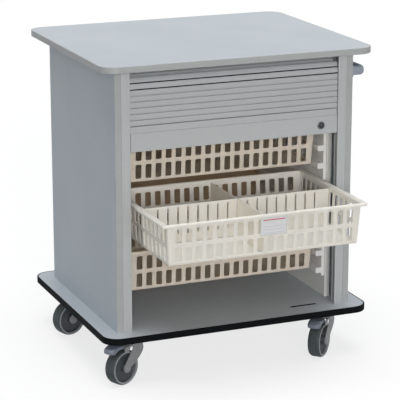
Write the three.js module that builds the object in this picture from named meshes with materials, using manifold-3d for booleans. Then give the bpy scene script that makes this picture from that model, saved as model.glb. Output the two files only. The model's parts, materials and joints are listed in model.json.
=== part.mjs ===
// Mobile basket trolley: a panel cabinet with a slatted roller shutter, three perforated pull-out baskets,
// a side push handle and four swivel casters, the front two braked. Millimetres, +Z up, front towards -Y.
// The origin lies on the floor, under the middle of the box round the trolley as it stands here,
// with its middle basket pulled out.
import * as THREE from 'three';
import { mergeVertices } from 'three/addons/utils/BufferGeometryUtils.js';
import Module from 'manifold-3d';

const wasm = await Module();
wasm.setup();

// Boards
const worktopWidth = 800;
const worktopDepth = 660;
const boardThickness = 18;
const boardCornerRadius = 46;
const edgingThickness = 2;
const bumperThickness = 4;
const overrun = 1; // how far a cutting or joining block runs past the face that it meets

// Cabinet body between the boards
const bodyWidth = 706;
const bodyDepth = 550;
const bodyHeight = 732;
const frontOverhang = 48;
const panelThickness = 18.5;
const jambWidth = 25.5;
const jambDepth = 20;
const liningThickness = 16;
const liningSetback = 74;
const liningInset = 20.5;
const liningHeight = 700;
const backPanelThickness = 8;

// Shutter
const slatPitch = 16.6;
const slatThickness = 8;
const slatRecess = 8;
const slatGrooveHalf = 0.9;
const slatGrooveDepth = 4.5;
const frontSlats = 6;
const bentSlats = 2;
const bendRadius = 45;
const curtainGap = 15;
const storedDrop = 130;
const storedRun = 390;
const bendSteps = 10;
const jambGrooveDepth = 14;
const trackClearance = 0.8;
const trackWall = 3;
const trackLength = 60;
const railHeight = 69;
const railStepHeight = 18;
const railStepDepth = 6;
const railRecess = 2;
const railThickness = 19;
const railSideGap = 1.5;
const railBottom = 505;

// Shutter lock
const lockFromJamb = 51;
const lockFromRailBottom = 25;
const lockBarrelRadius = 11;
const lockPlugRadius = 7;
const lockProud = 2.5;
const lockPlugSink = 0.5;
const lockSides = 16;
const keySlotWidth = 1.6;
const keySlotLength = 8;
const keySlotDepth = 3;
const lockCamLength = 80;
const lockCamWidth = 14;
const lockCamThickness = 3;
const keeperSlotLength = 84;
const keeperSlotWidth = 9;
const keeperSlotFromJamb = 42;

// Baskets and the ledges that carry them
const basketRimWidth = 600;
const basketRimDepth = 400;
const basketSideFlange = 15;
const basketEndFlange = 8;
const basketRimHeight = 8;
const basketRimCorner = 6;
const basketHeight = 116;
const basketDraft = 7;
const basketWall = 3;
const basketCornerRadius = 10;
const windowWidth = 17;
const windowHeight = 39.5;
const windowPitch = 29.5;
const windowRows = 2;
const windowRowGap = 12;
const windowFromFloor = 9;
const ledgePitch = 52;
const ledgeHeight = 16;
const ledgeCount = 11;
const firstLedgeTop = 87;
const ledgeReach = 18;
const supportPlate = 8;
const supportFoot = 62;
const supportTop = 630;
const supportDepth = 420;
const supportSetback = 6;
const basketSetback = 9;
const middlePull = 292;
const basketLedges = { bottom: 2, middle: 5, top: 8 };
const seatGap = 0.3;

// Dividers and label of the middle basket
const dividerThickness = 3;
const dividerDrop = 6.5;
const dividerLift = 4;
const dividerGap = 0.5;
const slitWidth = 4;
const slitFromTop = 7;
const slitHeight = 75;
const labelWidth = 78;
const labelHeight = 53;
const labelDepth = 3;
const labelLip = 2;
const labelFromMiddle = 22;
const labelFromRim = 0.5;
const cardThickness = 0.6;

// Push handle on the right side panel
const handleHeight = 26;
const handleThickness = 16;
const handleReach = 46;
const handleBend = 14;
const handleFromTop = 57;
const handleEndInset = 15;
const handleBendSteps = 5;
const footThickness = 4;
const footMargin = 6;
const footCorner = 10;

// Casters
const casterHeight = 127;
const casterSideInset = 104;
const casterOffset = -15;
const casterFrontInset = 58;
const casterRearInset = 160;
const casterTrail = 36;
const wheelRadius = 50;
const tyreWidth = 35;
const tyreEdge = 1.5;
const tyreShoulder = 9;
const rimRadius = 46;
const rimLip = 4;
const rimSlope = 2;
const rimFaceSink = 1;
const rimFaceRadius = 48;
const wheelWeb = 12;
const hubRadius = 13;
const hubEndGap = 1;
const axleRadius = 5;
const axleHead = 9;
const axleHeadThickness = 3;
const runningGap = 0.3;
const wheelSides = 20;
const casterPlateLength = 80;
const casterPlateWidth = 66;
const casterPlateThickness = 4;
const casterPlateCorner = 8;
const bearingRadius = 23;
const bearingTaper = 3;
const bearingHeight = 8;
const crownThickness = 6;
const crownMargin = 3;
const crownCorner = 14;
const forkWall = 4;
const forkSideGap = 3;
const armShoulder = 11;
const armWaist = 30;
const earStart = 28;
const notchStart = 14;
const pedalWidth = 36;
const pedalAxisX = 36;
const pedalAxisDrop = 3.2;
const pedalPinRadius = 3;
const pedalReach = 57;
const pedalCorner = 12;
const pedalRise = 11;
const pedalTip = 11;
const pedalTipRound = 3;
const pedalPress = 22;
const pedalTyreGap = 4;
const pedalUnderAngles = [80, 65, 50, 35];
const casterHeadings = { front_left: 205, front_right: 224, rear_left: 197, rear_right: 214 };

// Levels and planes worked out from the sizes above
const baseBottom = casterHeight;
const baseTop = baseBottom + boardThickness;
const bodyTop = baseTop + bodyHeight;
const bodyFront = -worktopDepth / 2 + frontOverhang;
const bodyBack = bodyFront + bodyDepth;
const panelInner = bodyWidth / 2 - panelThickness;
const jambInner = panelInner - jambWidth;
const liningInner = panelInner - liningInset;
const liningFront = bodyFront + liningSetback;
const supportInner = liningInner - supportPlate;
const basketBodyWidth = basketRimWidth - 2 * basketSideFlange;
const basketBodyDepth = basketRimDepth - 2 * basketEndFlange;
const railFront = bodyFront + railRecess;
const railBack = railFront + railThickness;
const lockX = jambInner - lockFromJamb;
const lockCamFront = railBack + 2 * seatGap;
const stowedY = liningFront + basketSetback + basketRimDepth / 2;
const middleY = stowedY - middlePull;
const windowsAlong = (length) => Math.floor(
  (length - 2 * (basketDraft + basketCornerRadius) + windowPitch - windowWidth) / windowPitch);
const frontWindows = windowsAlong(basketBodyWidth);
const sideWindows = windowsAlong(basketBodyDepth);
const slitCount = frontWindows - 1;
const basketFloorLevel = (ledge) =>
  baseTop + firstLedgeTop + ledge * ledgePitch + seatGap + basketRimHeight - basketHeight;

// The origin is moved to the middle of the box round the whole trolley
const frontmost = Math.min(middleY - basketRimDepth / 2, -worktopDepth / 2);
const originY = (frontmost + worktopDepth / 2) / 2;

const trolley = new THREE.Group();
trolley.position.set(0, -originY, 0);

const finishes = {
  laminate: { color: 0xc0c8d0, roughness: 0.5, metalness: 0 },
  edging: { color: 0xa0a6aa, roughness: 0.5, metalness: 0 },
  panel: { color: 0x9aa2aa, roughness: 0.55, metalness: 0 },
  profile: { color: 0xa6abae, roughness: 0.4, metalness: 0.4 },
  shutter: { color: 0xa8adb0, roughness: 0.45, metalness: 0 },
  rubber: { color: 0x191e20, roughness: 0.8, metalness: 0 },
  cream: { color: 0xd8d0c2, roughness: 0.5, metalness: 0 },
  support: { color: 0x9c9fa2, roughness: 0.5, metalness: 0 },
  steel: { color: 0x8b8f93, roughness: 0.35, metalness: 0.9 },
  fork: { color: 0x787878, roughness: 0.5, metalness: 0.2 },
  rim: { color: 0x82878a, roughness: 0.5, metalness: 0 },
  tyre: { color: 0x373f44, roughness: 0.75, metalness: 0 },
  handle: { color: 0x969ba5, roughness: 0.45, metalness: 0 },
  card: { color: 0xdcdde3, roughness: 0.7, metalness: 0 },
  clear: { color: 0xd6d8d6, roughness: 0.2, metalness: 0 },
};

function toSolid(geometry) {
  const plain = geometry.clone();
  plain.deleteAttribute('normal');
  plain.deleteAttribute('uv');
  const merged = mergeVertices(plain, 1e-4);
  const vertProperties = new Float32Array(merged.attributes.position.array);
  const triVerts = new Uint32Array(merged.index.array);
  return new wasm.Manifold(new wasm.Mesh({ numProp: 3, vertProperties, triVerts }));
}

function toGeometry(solid) {
  const mesh = solid.getMesh();
  const geometry = new THREE.BufferGeometry();
  geometry.setAttribute('position', new THREE.BufferAttribute(mesh.vertProperties, 3));
  geometry.setIndex(new THREE.BufferAttribute(mesh.triVerts, 1));
  geometry.computeVertexNormals();
  return geometry;
}

function addPiece(name, geometry, finish, group = trolley) {
  const mesh = new THREE.Mesh(geometry, new THREE.MeshStandardMaterial(finishes[finish]));
  mesh.name = name;
  group.add(mesh);
  return mesh;
}

function block(x, y, z) {
  const geometry = new THREE.BoxGeometry(x[1] - x[0], y[1] - y[0], z[1] - z[0]);
  geometry.translate((x[0] + x[1]) / 2, (y[0] + y[1]) / 2, (z[0] + z[1]) / 2);
  return geometry;
}

function joined(geometries) {
  return geometries.map(toSolid).reduce((whole, solid) => whole.add(solid));
}

function cut(geometry, tools) {
  const solid = geometry instanceof THREE.BufferGeometry ? toSolid(geometry) : geometry;
  return tools.map(toSolid).reduce((whole, tool) => whole.subtract(tool), solid);
}

function roundedRectangle(width, depth, radius) {
  const w = width / 2;
  const d = depth / 2;
  const shape = new THREE.Shape();
  shape.moveTo(-w + radius, -d);
  shape.lineTo(w - radius, -d);
  shape.absarc(w - radius, -d + radius, radius, -Math.PI / 2, 0);
  shape.lineTo(w, d - radius);
  shape.absarc(w - radius, d - radius, radius, 0, Math.PI / 2);
  shape.lineTo(-w + radius, d);
  shape.absarc(-w + radius, d - radius, radius, Math.PI / 2, Math.PI);
  shape.lineTo(-w, -d + radius);
  shape.absarc(-w + radius, -d + radius, radius, Math.PI, 1.5 * Math.PI);
  return shape;
}

function polygon(points) {
  return new THREE.Shape(points.map(([x, y]) => new THREE.Vector2(x, y)));
}

function extrudeUp(shape, bottom, height, curveSegments = 3) {
  const geometry = new THREE.ExtrudeGeometry(shape, { depth: height, bevelEnabled: false, curveSegments });
  geometry.translate(0, 0, bottom);
  return geometry;
}

// A shape drawn in the YZ plane, carried along X from one place to another
function extrudeAcross(shape, from, to, curveSegments = 3) {
  const geometry = new THREE.ExtrudeGeometry(shape, { depth: to - from, bevelEnabled: false, curveSegments });
  const turn = new THREE.Matrix4().makeBasis(
    new THREE.Vector3(0, 1, 0), new THREE.Vector3(0, 0, 1), new THREE.Vector3(1, 0, 0));
  geometry.applyMatrix4(turn);
  geometry.translate(from, 0, 0);
  return geometry;
}

// A shape drawn in the XZ plane, carried along Y from one place to another
function extrudeAlong(shape, from, to, curveSegments = 4) {
  const geometry = new THREE.ExtrudeGeometry(shape, { depth: to - from, bevelEnabled: false, curveSegments });
  geometry.rotateX(Math.PI / 2);
  geometry.translate(0, to, 0);
  return geometry;
}

function rodAlongY(radius, from, to, sides = 12) {
  const geometry = new THREE.CylinderGeometry(radius, radius, to - from, sides);
  geometry.translate(0, (from + to) / 2, 0);
  return geometry;
}

// Boards with an edge strip each
function addBoards() {
  const boards = [
    { board: 'worktop', edge: 'worktop_edging', finish: 'edging', strip: edgingThickness, bottom: bodyTop },
    {
      board: 'base_board', edge: 'base_bumper', finish: 'rubber',
      strip: bumperThickness, bottom: baseBottom,
    },
  ];
  for (const { board, edge, finish, strip, bottom } of boards) {
    const outer = roundedRectangle(worktopWidth, worktopDepth, boardCornerRadius);
    const inner = () => roundedRectangle(
      worktopWidth - 2 * strip, worktopDepth - 2 * strip, boardCornerRadius - strip);
    let plate = extrudeUp(inner(), bottom, boardThickness);
    if (board === 'base_board') {
      const slotY = lockCamFront + lockCamThickness / 2;
      const right = jambInner - keeperSlotFromJamb;
      const left = right - keeperSlotLength;
      plate = toGeometry(cut(plate, [block(
        [left, right], [slotY - keeperSlotWidth / 2, slotY + keeperSlotWidth / 2],
        [bottom - overrun, bottom + boardThickness + overrun])]));
    }
    addPiece(board, plate, 'laminate');
    outer.holes.push(inner());
    addPiece(edge, extrudeUp(outer, bottom, boardThickness), finish);
  }
}

const sides = { left: -1, right: 1 };

function spanOnSide(side, inner, outer) {
  return side < 0 ? [-outer, -inner] : [inner, outer];
}

function addCabinet() {
  for (const [word, side] of Object.entries(sides)) {
    addPiece(`${word}_side_panel`, block(
      spanOnSide(side, panelInner, bodyWidth / 2), [bodyFront, bodyBack], [baseTop, bodyTop]), 'panel');
    const jamb = block(
      spanOnSide(side, jambInner, panelInner), [bodyFront, bodyFront + jambDepth], [baseTop, bodyTop]);
    const grooveFront = bodyFront + slatRecess - trackClearance;
    const grooveBack = bodyFront + slatRecess + slatThickness + trackClearance;
    const groove = block(
      spanOnSide(side, jambInner - overrun, jambInner + jambGrooveDepth), [grooveFront, grooveBack],
      [baseTop - overrun, bodyTop + overrun]);
    const bendRelief = block(
      spanOnSide(side, jambInner - overrun, jambInner + jambGrooveDepth),
      [grooveFront, bodyFront + jambDepth + overrun],
      [bendStart - storedDrop - slatPitch, bodyTop + overrun]);
    addPiece(`${word}_front_jamb`, toGeometry(cut(jamb, [groove, bendRelief])), 'profile');
    addPiece(`${word}_lining`, block(
      spanOnSide(side, liningInner, liningInner + liningThickness),
      [liningFront, bodyBack - backPanelThickness], [baseTop, baseTop + liningHeight]), 'panel');
    addSupport(word, side);
    addTrack(word, side);
  }
  addPiece('back_panel', block(
    [-panelInner, panelInner], [bodyBack - backPanelThickness, bodyBack], [baseTop, bodyTop]), 'panel');
}

// Plate on the lining with a row of ledges that the basket rims slide on
function addSupport(word, side) {
  const front = liningFront + supportSetback;
  const pieces = [block(
    spanOnSide(side, supportInner, liningInner), [front, front + supportDepth],
    [baseTop + supportFoot, baseTop + supportTop])];
  for (let ledge = 0; ledge < ledgeCount; ledge += 1) {
    const top = baseTop + firstLedgeTop + ledge * ledgePitch;
    pieces.push(block(
      spanOnSide(side, supportInner - ledgeReach, supportInner + overrun), [front, front + supportDepth],
      [top - ledgeHeight, top]));
  }
  addPiece(`${word}_support_panel`, toGeometry(joined(pieces)), 'support');
}

// The stored curtain's path: up behind the front curtain, round the bend and back under the worktop.
// A place along it is a distance from the foot, with an offset to the outer side of the bend.
const bendStart = baseTop + railBottom + railHeight + frontSlats * slatPitch;
const frontCurtainY = bodyFront + slatRecess + slatThickness / 2;
const storedCurtainY = frontCurtainY + slatThickness + curtainGap;

function pathPoint(startY, drop, distance, outward) {
  if (distance < drop) {
    return [startY - outward, bendStart - drop + distance];
  }
  const turn = Math.min((distance - drop) / bendRadius, Math.PI / 2);
  const run = Math.max(distance - drop - bendRadius * Math.PI / 2, 0);
  const reach = bendRadius + outward;
  return [
    startY + bendRadius - reach * Math.cos(turn) + run,
    bendStart + reach * Math.sin(turn),
  ];
}

// Outline of a slatted curtain: the outer side is notched between the slats, the inner side is smooth.
// A run past the bend lies flat out of sight and is left smooth.
function curtainShape(startY, drop, length, run = 0) {
  const half = slatThickness / 2;
  const outer = [];
  const inner = [];
  const count = Math.round(length / slatPitch);
  for (let slat = 0; slat < count; slat += 1) {
    const from = slat * slatPitch;
    const notch = half - slatGrooveDepth;
    outer.push(pathPoint(startY, drop, from, slat === 0 ? half : notch));
    if (slat > 0) {
      outer.push(pathPoint(startY, drop, from + slatGrooveHalf, notch));
      outer.push(pathPoint(startY, drop, from + slatGrooveHalf, half));
    }
    inner.push(pathPoint(startY, drop, from, -half));
    if (slat < count - 1) {
      outer.push(pathPoint(startY, drop, from + slatPitch - slatGrooveHalf, half));
      outer.push(pathPoint(startY, drop, from + slatPitch - slatGrooveHalf, notch));
    }
  }
  const end = count * slatPitch;
  const ends = run > 0 ? [end, end + run] : [end];
  for (const stop of ends) {
    outer.push(pathPoint(startY, drop, stop, half));
    inner.push(pathPoint(startY, drop, stop, -half));
  }
  return polygon([...outer, ...inner.reverse()]);
}

// A channel that the stored curtain's ends run in, fixed to the side panel
function addTrack(word, side) {
  const outerHalf = slatThickness / 2 + trackClearance + trackWall;
  const innerHalf = slatThickness / 2 + trackClearance;
  const band = (half, drop, run) => {
    const points = [];
    const length = drop + bendRadius * Math.PI / 2 + run;
    const stops = [0, drop];
    for (let step = 1; step <= bendSteps; step += 1) {
      stops.push(drop + (bendRadius * Math.PI / 2) * (step / bendSteps));
    }
    stops.push(length);
    for (const stop of stops) {
      points.push(pathPoint(storedCurtainY, drop, stop, half));
    }
    for (const stop of stops.reverse()) {
      points.push(pathPoint(storedCurtainY, drop, stop, -half));
    }
    return polygon(points);
  };
  const width = panelInner - jambInner;
  const [from, to] = spanOnSide(side, panelInner - width + trackWall, panelInner);
  const [grooveFrom, grooveTo] = spanOnSide(side, panelInner - width, panelInner - trackWall);
  const body = extrudeAcross(band(outerHalf, trackLength, storedRun), from, to);
  const groove = extrudeAcross(
    band(innerHalf, trackLength + overrun, storedRun + overrun), grooveFrom, grooveTo);
  addPiece(`${word}_shutter_track`, toGeometry(cut(body, [groove])), 'profile');
}

function addShutter() {
  const halfWidth = jambInner + jambGrooveDepth - railSideGap;
  const frontLength = (frontSlats + bentSlats) * slatPitch;
  addPiece('shutter_curtain', extrudeAcross(
    curtainShape(frontCurtainY, frontSlats * slatPitch, frontLength), -halfWidth, halfWidth), 'shutter');
  const storedLength = storedDrop + bendRadius * Math.PI / 2 + slatPitch;
  addPiece('stored_curtain', extrudeAcross(
    curtainShape(storedCurtainY, storedDrop, storedLength, storedRun - 2 * slatPitch),
    -(panelInner - trackWall - railSideGap), panelInner - trackWall - railSideGap), 'shutter');
  addRail(halfWidth);
}

// Bottom rail with a recessed finger step along its top and a tongue at each end that runs in the jamb groove
function addRail(halfWidth) {
  const bottom = baseTop + railBottom;
  const top = bottom + railHeight - seatGap;
  const front = railFront;
  const back = railBack;
  const profile = polygon([
    [front, bottom], [back, bottom], [back, top], [front + railStepDepth, top],
    [front + railStepDepth, top - railStepHeight], [front, top - railStepHeight]]);
  const plate = extrudeAcross(profile, -(jambInner - railSideGap), jambInner - railSideGap);
  const tongue = block(
    [-halfWidth, halfWidth], [bodyFront + slatRecess, bodyFront + slatRecess + slatThickness],
    [bottom + seatGap, top - seatGap]);
  const lockZ = bottom + lockFromRailBottom;
  const face = front - lockProud;
  const bore = rodAlongY(lockBarrelRadius + runningGap, front - overrun, back + overrun, lockSides);
  bore.translate(lockX, 0, lockZ);
  addPiece('shutter_rail', toGeometry(joined([plate, tongue]).subtract(toSolid(bore))), 'shutter');

  const barrel = rodAlongY(lockBarrelRadius, face, back, lockSides);
  const plugBore = rodAlongY(lockPlugRadius + runningGap, face - overrun, back + overrun, lockSides);
  addPiece('lock_barrel', toGeometry(cut(barrel, [plugBore])).translate(lockX, 0, lockZ), 'steel');
  const plug = rodAlongY(lockPlugRadius, face + lockPlugSink, back + seatGap, lockSides);
  const keySlot = block(
    [-keySlotWidth / 2, keySlotWidth / 2], [face, face + lockPlugSink + keySlotDepth],
    [-keySlotLength / 2, keySlotLength / 2]);
  addPiece('lock_plug', toGeometry(cut(plug, [keySlot])).translate(lockX, 0, lockZ), 'steel');
  const camShape = new THREE.Shape();
  const camHalf = lockCamWidth / 2;
  camShape.moveTo(0, -camHalf);
  camShape.absarc(0, 0, camHalf, -Math.PI / 2, Math.PI / 2);
  camShape.lineTo(-lockCamLength + camHalf, camHalf);
  camShape.lineTo(-lockCamLength, 0);
  camShape.lineTo(-lockCamLength, -camHalf);
  addPiece('lock_cam', extrudeAlong(camShape, lockCamFront, lockCamFront + lockCamThickness)
    .translate(lockX, 0, lockZ), 'steel');
}

// A drafted box: its plan grows by the draft on every side towards the top
function draftedBlock(width, depth, bottom, height, draft, radius) {
  const geometry = extrudeUp(
    roundedRectangle(width - 2 * draft, depth - 2 * draft, radius), 0, height, 2);
  const place = geometry.attributes.position;
  for (let i = 0; i < place.count; i += 1) {
    const grow = draft * place.getZ(i) / height;
    place.setX(i, place.getX(i) + Math.sign(place.getX(i)) * grow);
    place.setY(i, place.getY(i) + Math.sign(place.getY(i)) * grow);
  }
  geometry.translate(0, 0, bottom);
  return geometry;
}

// One perforated basket on z = 0 about its own middle. Its rim is a channel, open below, along both sides.
function basketGeometry() {
  const outer = draftedBlock(
    basketBodyWidth, basketBodyDepth, 0, basketHeight, basketDraft, basketCornerRadius);
  const inner = draftedBlock(
    basketBodyWidth - 2 * basketWall, basketBodyDepth - 2 * basketWall, basketWall, basketHeight,
    basketDraft * basketHeight / (basketHeight - basketWall), basketCornerRadius - basketWall);
  const rimBottom = basketHeight - basketRimHeight;
  const rim = extrudeUp(
    roundedRectangle(basketRimWidth, basketRimDepth, basketRimCorner), rimBottom, basketRimHeight, 2);
  const underFlange = Object.values(sides).map((side) => block(
    spanOnSide(side, basketBodyWidth / 2, basketRimWidth / 2 - basketWall),
    [-basketRimDepth / 2 + basketWall, basketRimDepth / 2 - basketWall],
    [rimBottom - overrun, basketHeight - basketWall]));
  let shell = cut(joined([outer, rim]), [...underFlange, inner]);
  const windows = [];
  for (let row = 0; row < windowRows; row += 1) {
    const low = windowFromFloor + row * (windowHeight + windowRowGap);
    for (let i = 0; i < frontWindows; i += 1) {
      const x = (i - (frontWindows - 1) / 2) * windowPitch;
      windows.push(block(
        [x - windowWidth / 2, x + windowWidth / 2],
        [-basketBodyDepth / 2 - overrun, basketBodyDepth / 2 + overrun], [low, low + windowHeight]));
    }
    for (let i = 0; i < sideWindows; i += 1) {
      const y = (i - (sideWindows - 1) / 2) * windowPitch;
      windows.push(block(
        [-basketBodyWidth / 2 - overrun, basketBodyWidth / 2 + overrun],
        [y - windowWidth / 2, y + windowWidth / 2], [low, low + windowHeight]));
    }
  }
  shell = cut(shell, windows);
  return toGeometry(shell);
}

function addBaskets() {
  for (const [word, ledge] of Object.entries(basketLedges)) {
    const basket = new THREE.Group();
    basket.position.set(0, word === 'middle' ? middleY : stowedY, basketFloorLevel(ledge));
    trolley.add(basket);
    addPiece(`${word}_basket`, basketGeometry(), 'cream', basket);
    if (word === 'middle') {
      addDividers(basket);
      addLabel(basket);
    }
  }
}

// Two upright dividers that cross in half laps
function addDividers(basket) {
  const low = basketWall + dividerLift;
  const high = basketHeight - dividerDrop;
  const middle = (low + high) / 2;
  const half = dividerThickness / 2;
  const upright = (bodySize) => {
    const bottom = bodySize / 2 - basketWall - dividerGap - basketDraft;
    const slope = basketDraft / basketHeight;
    return polygon([
      [-bottom - slope * low, low], [bottom + slope * low, low],
      [bottom + slope * high, high], [-bottom - slope * high, high]]);
  };
  const lap = half + dividerGap;
  const slits = [];
  for (let i = 0; i < slitCount; i += 1) {
    const x = (i - (slitCount - 1) / 2) * windowPitch;
    if (Math.abs(x) > slitWidth) {
      slits.push(block(
        [x - slitWidth / 2, x + slitWidth / 2], [-half - overrun, half + overrun],
        [high - slitFromTop - slitHeight, high - slitFromTop]));
    }
  }
  const crossLap = block(
    [-lap, lap], [-half - overrun, half + overrun], [middle - dividerGap, high + overrun]);
  const cross = cut(extrudeAlong(upright(basketBodyWidth), -half, half), [...slits, crossLap]);
  addPiece('cross_divider', toGeometry(cross), 'cream', basket);
  const longLap = block(
    [-half - overrun, half + overrun], [-lap, lap], [low - overrun, middle + dividerGap]);
  const long = cut(extrudeAcross(upright(basketBodyDepth), -half, half), [longLap]);
  addPiece('long_divider', toGeometry(long), 'cream', basket);
}

// Card pocket on the front wall, leaning with the wall's draft
function addLabel(basket) {
  const pocket = new THREE.Group();
  const lean = Math.atan(basketDraft / basketHeight);
  const top = basketHeight - basketRimHeight - labelFromRim;
  pocket.position.set(labelFromMiddle, -basketBodyDepth / 2 + (basketHeight - top) * Math.tan(lean), top);
  pocket.rotation.x = lean;
  basket.add(pocket);
  const half = labelWidth / 2;
  const plate = block([-half, half], [-labelDepth - seatGap, -seatGap], [-labelHeight, 0]);
  const recess = block(
    [-half + labelLip, half - labelLip], [-labelDepth - overrun, -labelDepth / 2],
    [-labelHeight + labelLip, overrun]);
  addPiece('label_holder', toGeometry(cut(plate, [recess])), 'clear', pocket);
  const inset = labelLip + runningGap;
  addPiece('label_card', block(
    [-half + inset, half - inset],
    [-labelDepth / 2 - runningGap - cardThickness, -labelDepth / 2 - runningGap],
    [-labelHeight + inset, -runningGap]), 'card', pocket);
}

// A level path of straight runs and quarter bends, with steps only where it bends
class BentPath extends THREE.Curve {
  constructor(sections) {
    super();
    this.stations = sections.flatMap(({ curve, steps }) =>
      Array.from({ length: steps }, (_, step) => ({ curve, from: step / steps, to: (step + 1) / steps })));
  }

  getPoint(t) {
    const place = Math.min(t * this.stations.length, this.stations.length - 1e-9);
    const { curve, from, to } = this.stations[Math.floor(place)];
    return curve.getPoint(from + (to - from) * (place % 1));
  }

  getUtoTmapping(u) {
    return u;
  }
}

// Bent bar of upright oval section, with a foot on the panel at each end
function addHandle() {
  const z = bodyTop - handleFromTop;
  const face = bodyWidth / 2;
  const ends = { front: bodyFront + handleEndInset, rear: bodyBack - handleEndInset };
  const rootX = face + footThickness;
  const barX = face + handleReach - handleThickness / 2;
  const at = (x, y) => new THREE.Vector3(x, y, z);
  const corner = (end, inward) => new THREE.QuadraticBezierCurve3(
    at(barX - handleBend, end), at(barX, end), at(barX, end + inward * handleBend));
  const back = new THREE.QuadraticBezierCurve3(
    at(barX, ends.rear - handleBend), at(barX, ends.rear), at(barX - handleBend, ends.rear));
  const grip = new THREE.LineCurve3(at(barX, ends.front + handleBend), at(barX, ends.rear - handleBend));
  const path = new BentPath([
    { curve: new THREE.LineCurve3(at(rootX, ends.front), at(barX - handleBend, ends.front)), steps: 1 },
    { curve: corner(ends.front, 1), steps: handleBendSteps },
    { curve: grip, steps: 1 },
    { curve: back, steps: handleBendSteps },
    { curve: new THREE.LineCurve3(at(barX - handleBend, ends.rear), at(rootX, ends.rear)), steps: 1 },
  ]);
  const section = new THREE.Shape();
  section.absellipse(0, 0, handleHeight / 2, handleThickness / 2, 0, 2 * Math.PI);
  addPiece('handle_bar', new THREE.ExtrudeGeometry(section, {
    extrudePath: path, steps: path.stations.length, bevelEnabled: false, curveSegments: 6 }), 'handle');
  for (const [word, y] of Object.entries(ends)) {
    const width = handleThickness + 2 * footMargin;
    const height = handleHeight + 2 * footMargin;
    const foot = extrudeAcross(roundedRectangle(width, height, footCorner), face, rootX - seatGap);
    foot.translate(0, y, z);
    addPiece(`handle_${word}_foot`, foot, 'handle');
  }
}

// Swivel caster, modelled about its pivot with the wheel trailing towards +X
function addCaster(word, x, y, heading, braked) {
  const fixed = new THREE.Group();
  fixed.position.set(x, y, 0);
  trolley.add(fixed);
  const plateBottom = casterHeight - casterPlateThickness;
  const bearingBottom = plateBottom - bearingHeight;
  const plate = extrudeUp(
    roundedRectangle(casterPlateLength, casterPlateWidth, casterPlateCorner), plateBottom,
    casterPlateThickness);
  const bearing = new THREE.CylinderGeometry(
    bearingRadius, bearingRadius - bearingTaper, bearingHeight + overrun, lockSides);
  bearing.rotateX(Math.PI / 2);
  bearing.translate(0, 0, bearingBottom + (bearingHeight + overrun) / 2);
  addPiece(`${word}_caster_plate`, toGeometry(joined([plate, bearing])), 'steel', fixed);

  const turning = new THREE.Group();
  turning.rotation.z = THREE.MathUtils.degToRad(heading);
  fixed.add(turning);
  addFork(word, turning, bearingBottom - seatGap, braked);
  addWheel(word, turning);
  if (braked) {
    addPedal(word, turning, bearingBottom - seatGap - crownThickness);
  }
}

// Fork of a crown and two slanting arms; the arms of a braked one have ears for the pedal's pin
function addFork(word, turning, crownTop, braked) {
  const inner = tyreWidth / 2 + forkSideGap;
  const outer = inner + forkWall;
  const crownBottom = crownTop - crownThickness;
  const reach = bearingRadius + crownMargin;
  const crown = extrudeUp(
    roundedRectangle(2 * reach, 2 * outer, crownCorner), crownBottom, crownThickness, 2);
  const arm = new THREE.Shape();
  const shoulder = pedalAxisX + 2 * pedalPinRadius + crownMargin;
  arm.moveTo(-reach + crownMargin, crownTop);
  arm.lineTo(-reach, crownBottom - armShoulder);
  arm.quadraticCurveTo(-reach, crownBottom - armWaist, casterTrail - hubRadius, wheelRadius);
  arm.absarc(casterTrail, wheelRadius, hubRadius, Math.PI, 2.1 * Math.PI);
  arm.quadraticCurveTo(
    casterTrail - crownMargin, crownBottom - armWaist, notchStart, crownBottom - armShoulder + crownMargin);
  arm.lineTo(notchStart, crownBottom);
  if (braked) {
    arm.lineTo(earStart, crownBottom);
    arm.lineTo(earStart + crownMargin, crownBottom - armShoulder);
    arm.lineTo(shoulder, crownBottom - armShoulder);
    arm.lineTo(shoulder, crownTop - overrun);
  }
  arm.lineTo(reach - overrun, crownTop);
  const arms = [-1, 1].map((side) => extrudeAlong(
    arm, side < 0 ? -outer : inner, side < 0 ? -inner : outer));
  const bore = rodAlongY(axleRadius + runningGap, -outer - overrun, outer + overrun);
  bore.translate(casterTrail, 0, wheelRadius);
  const bores = [bore];
  if (braked) {
    const pedalBore = rodAlongY(pedalPinRadius + runningGap, -outer - overrun, outer + overrun);
    bores.push(pedalBore.translate(pedalAxisX, 0, crownBottom - pedalAxisDrop));
  }
  addPiece(`${word}_fork`, toGeometry(cut(joined([crown, ...arms]), bores)), 'fork', turning);

  const shank = rodAlongY(axleRadius, -outer - seatGap - overrun, outer + seatGap + overrun);
  const heads = [-1, 1].map((side) => rodAlongY(
    axleHead,
    side < 0 ? -outer - seatGap - axleHeadThickness : outer + seatGap,
    side < 0 ? -outer - seatGap : outer + seatGap + axleHeadThickness));
  addPiece(`${word}_axle`, toGeometry(joined([shank, ...heads]).translate([casterTrail, 0, wheelRadius])),
    'steel', turning);
}

function ringAboutAxle(profile, segments) {
  const geometry = new THREE.LatheGeometry(profile.map(([r, w]) => new THREE.Vector2(r, w)), segments);
  geometry.translate(casterTrail, 0, wheelRadius);
  return geometry;
}

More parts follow.
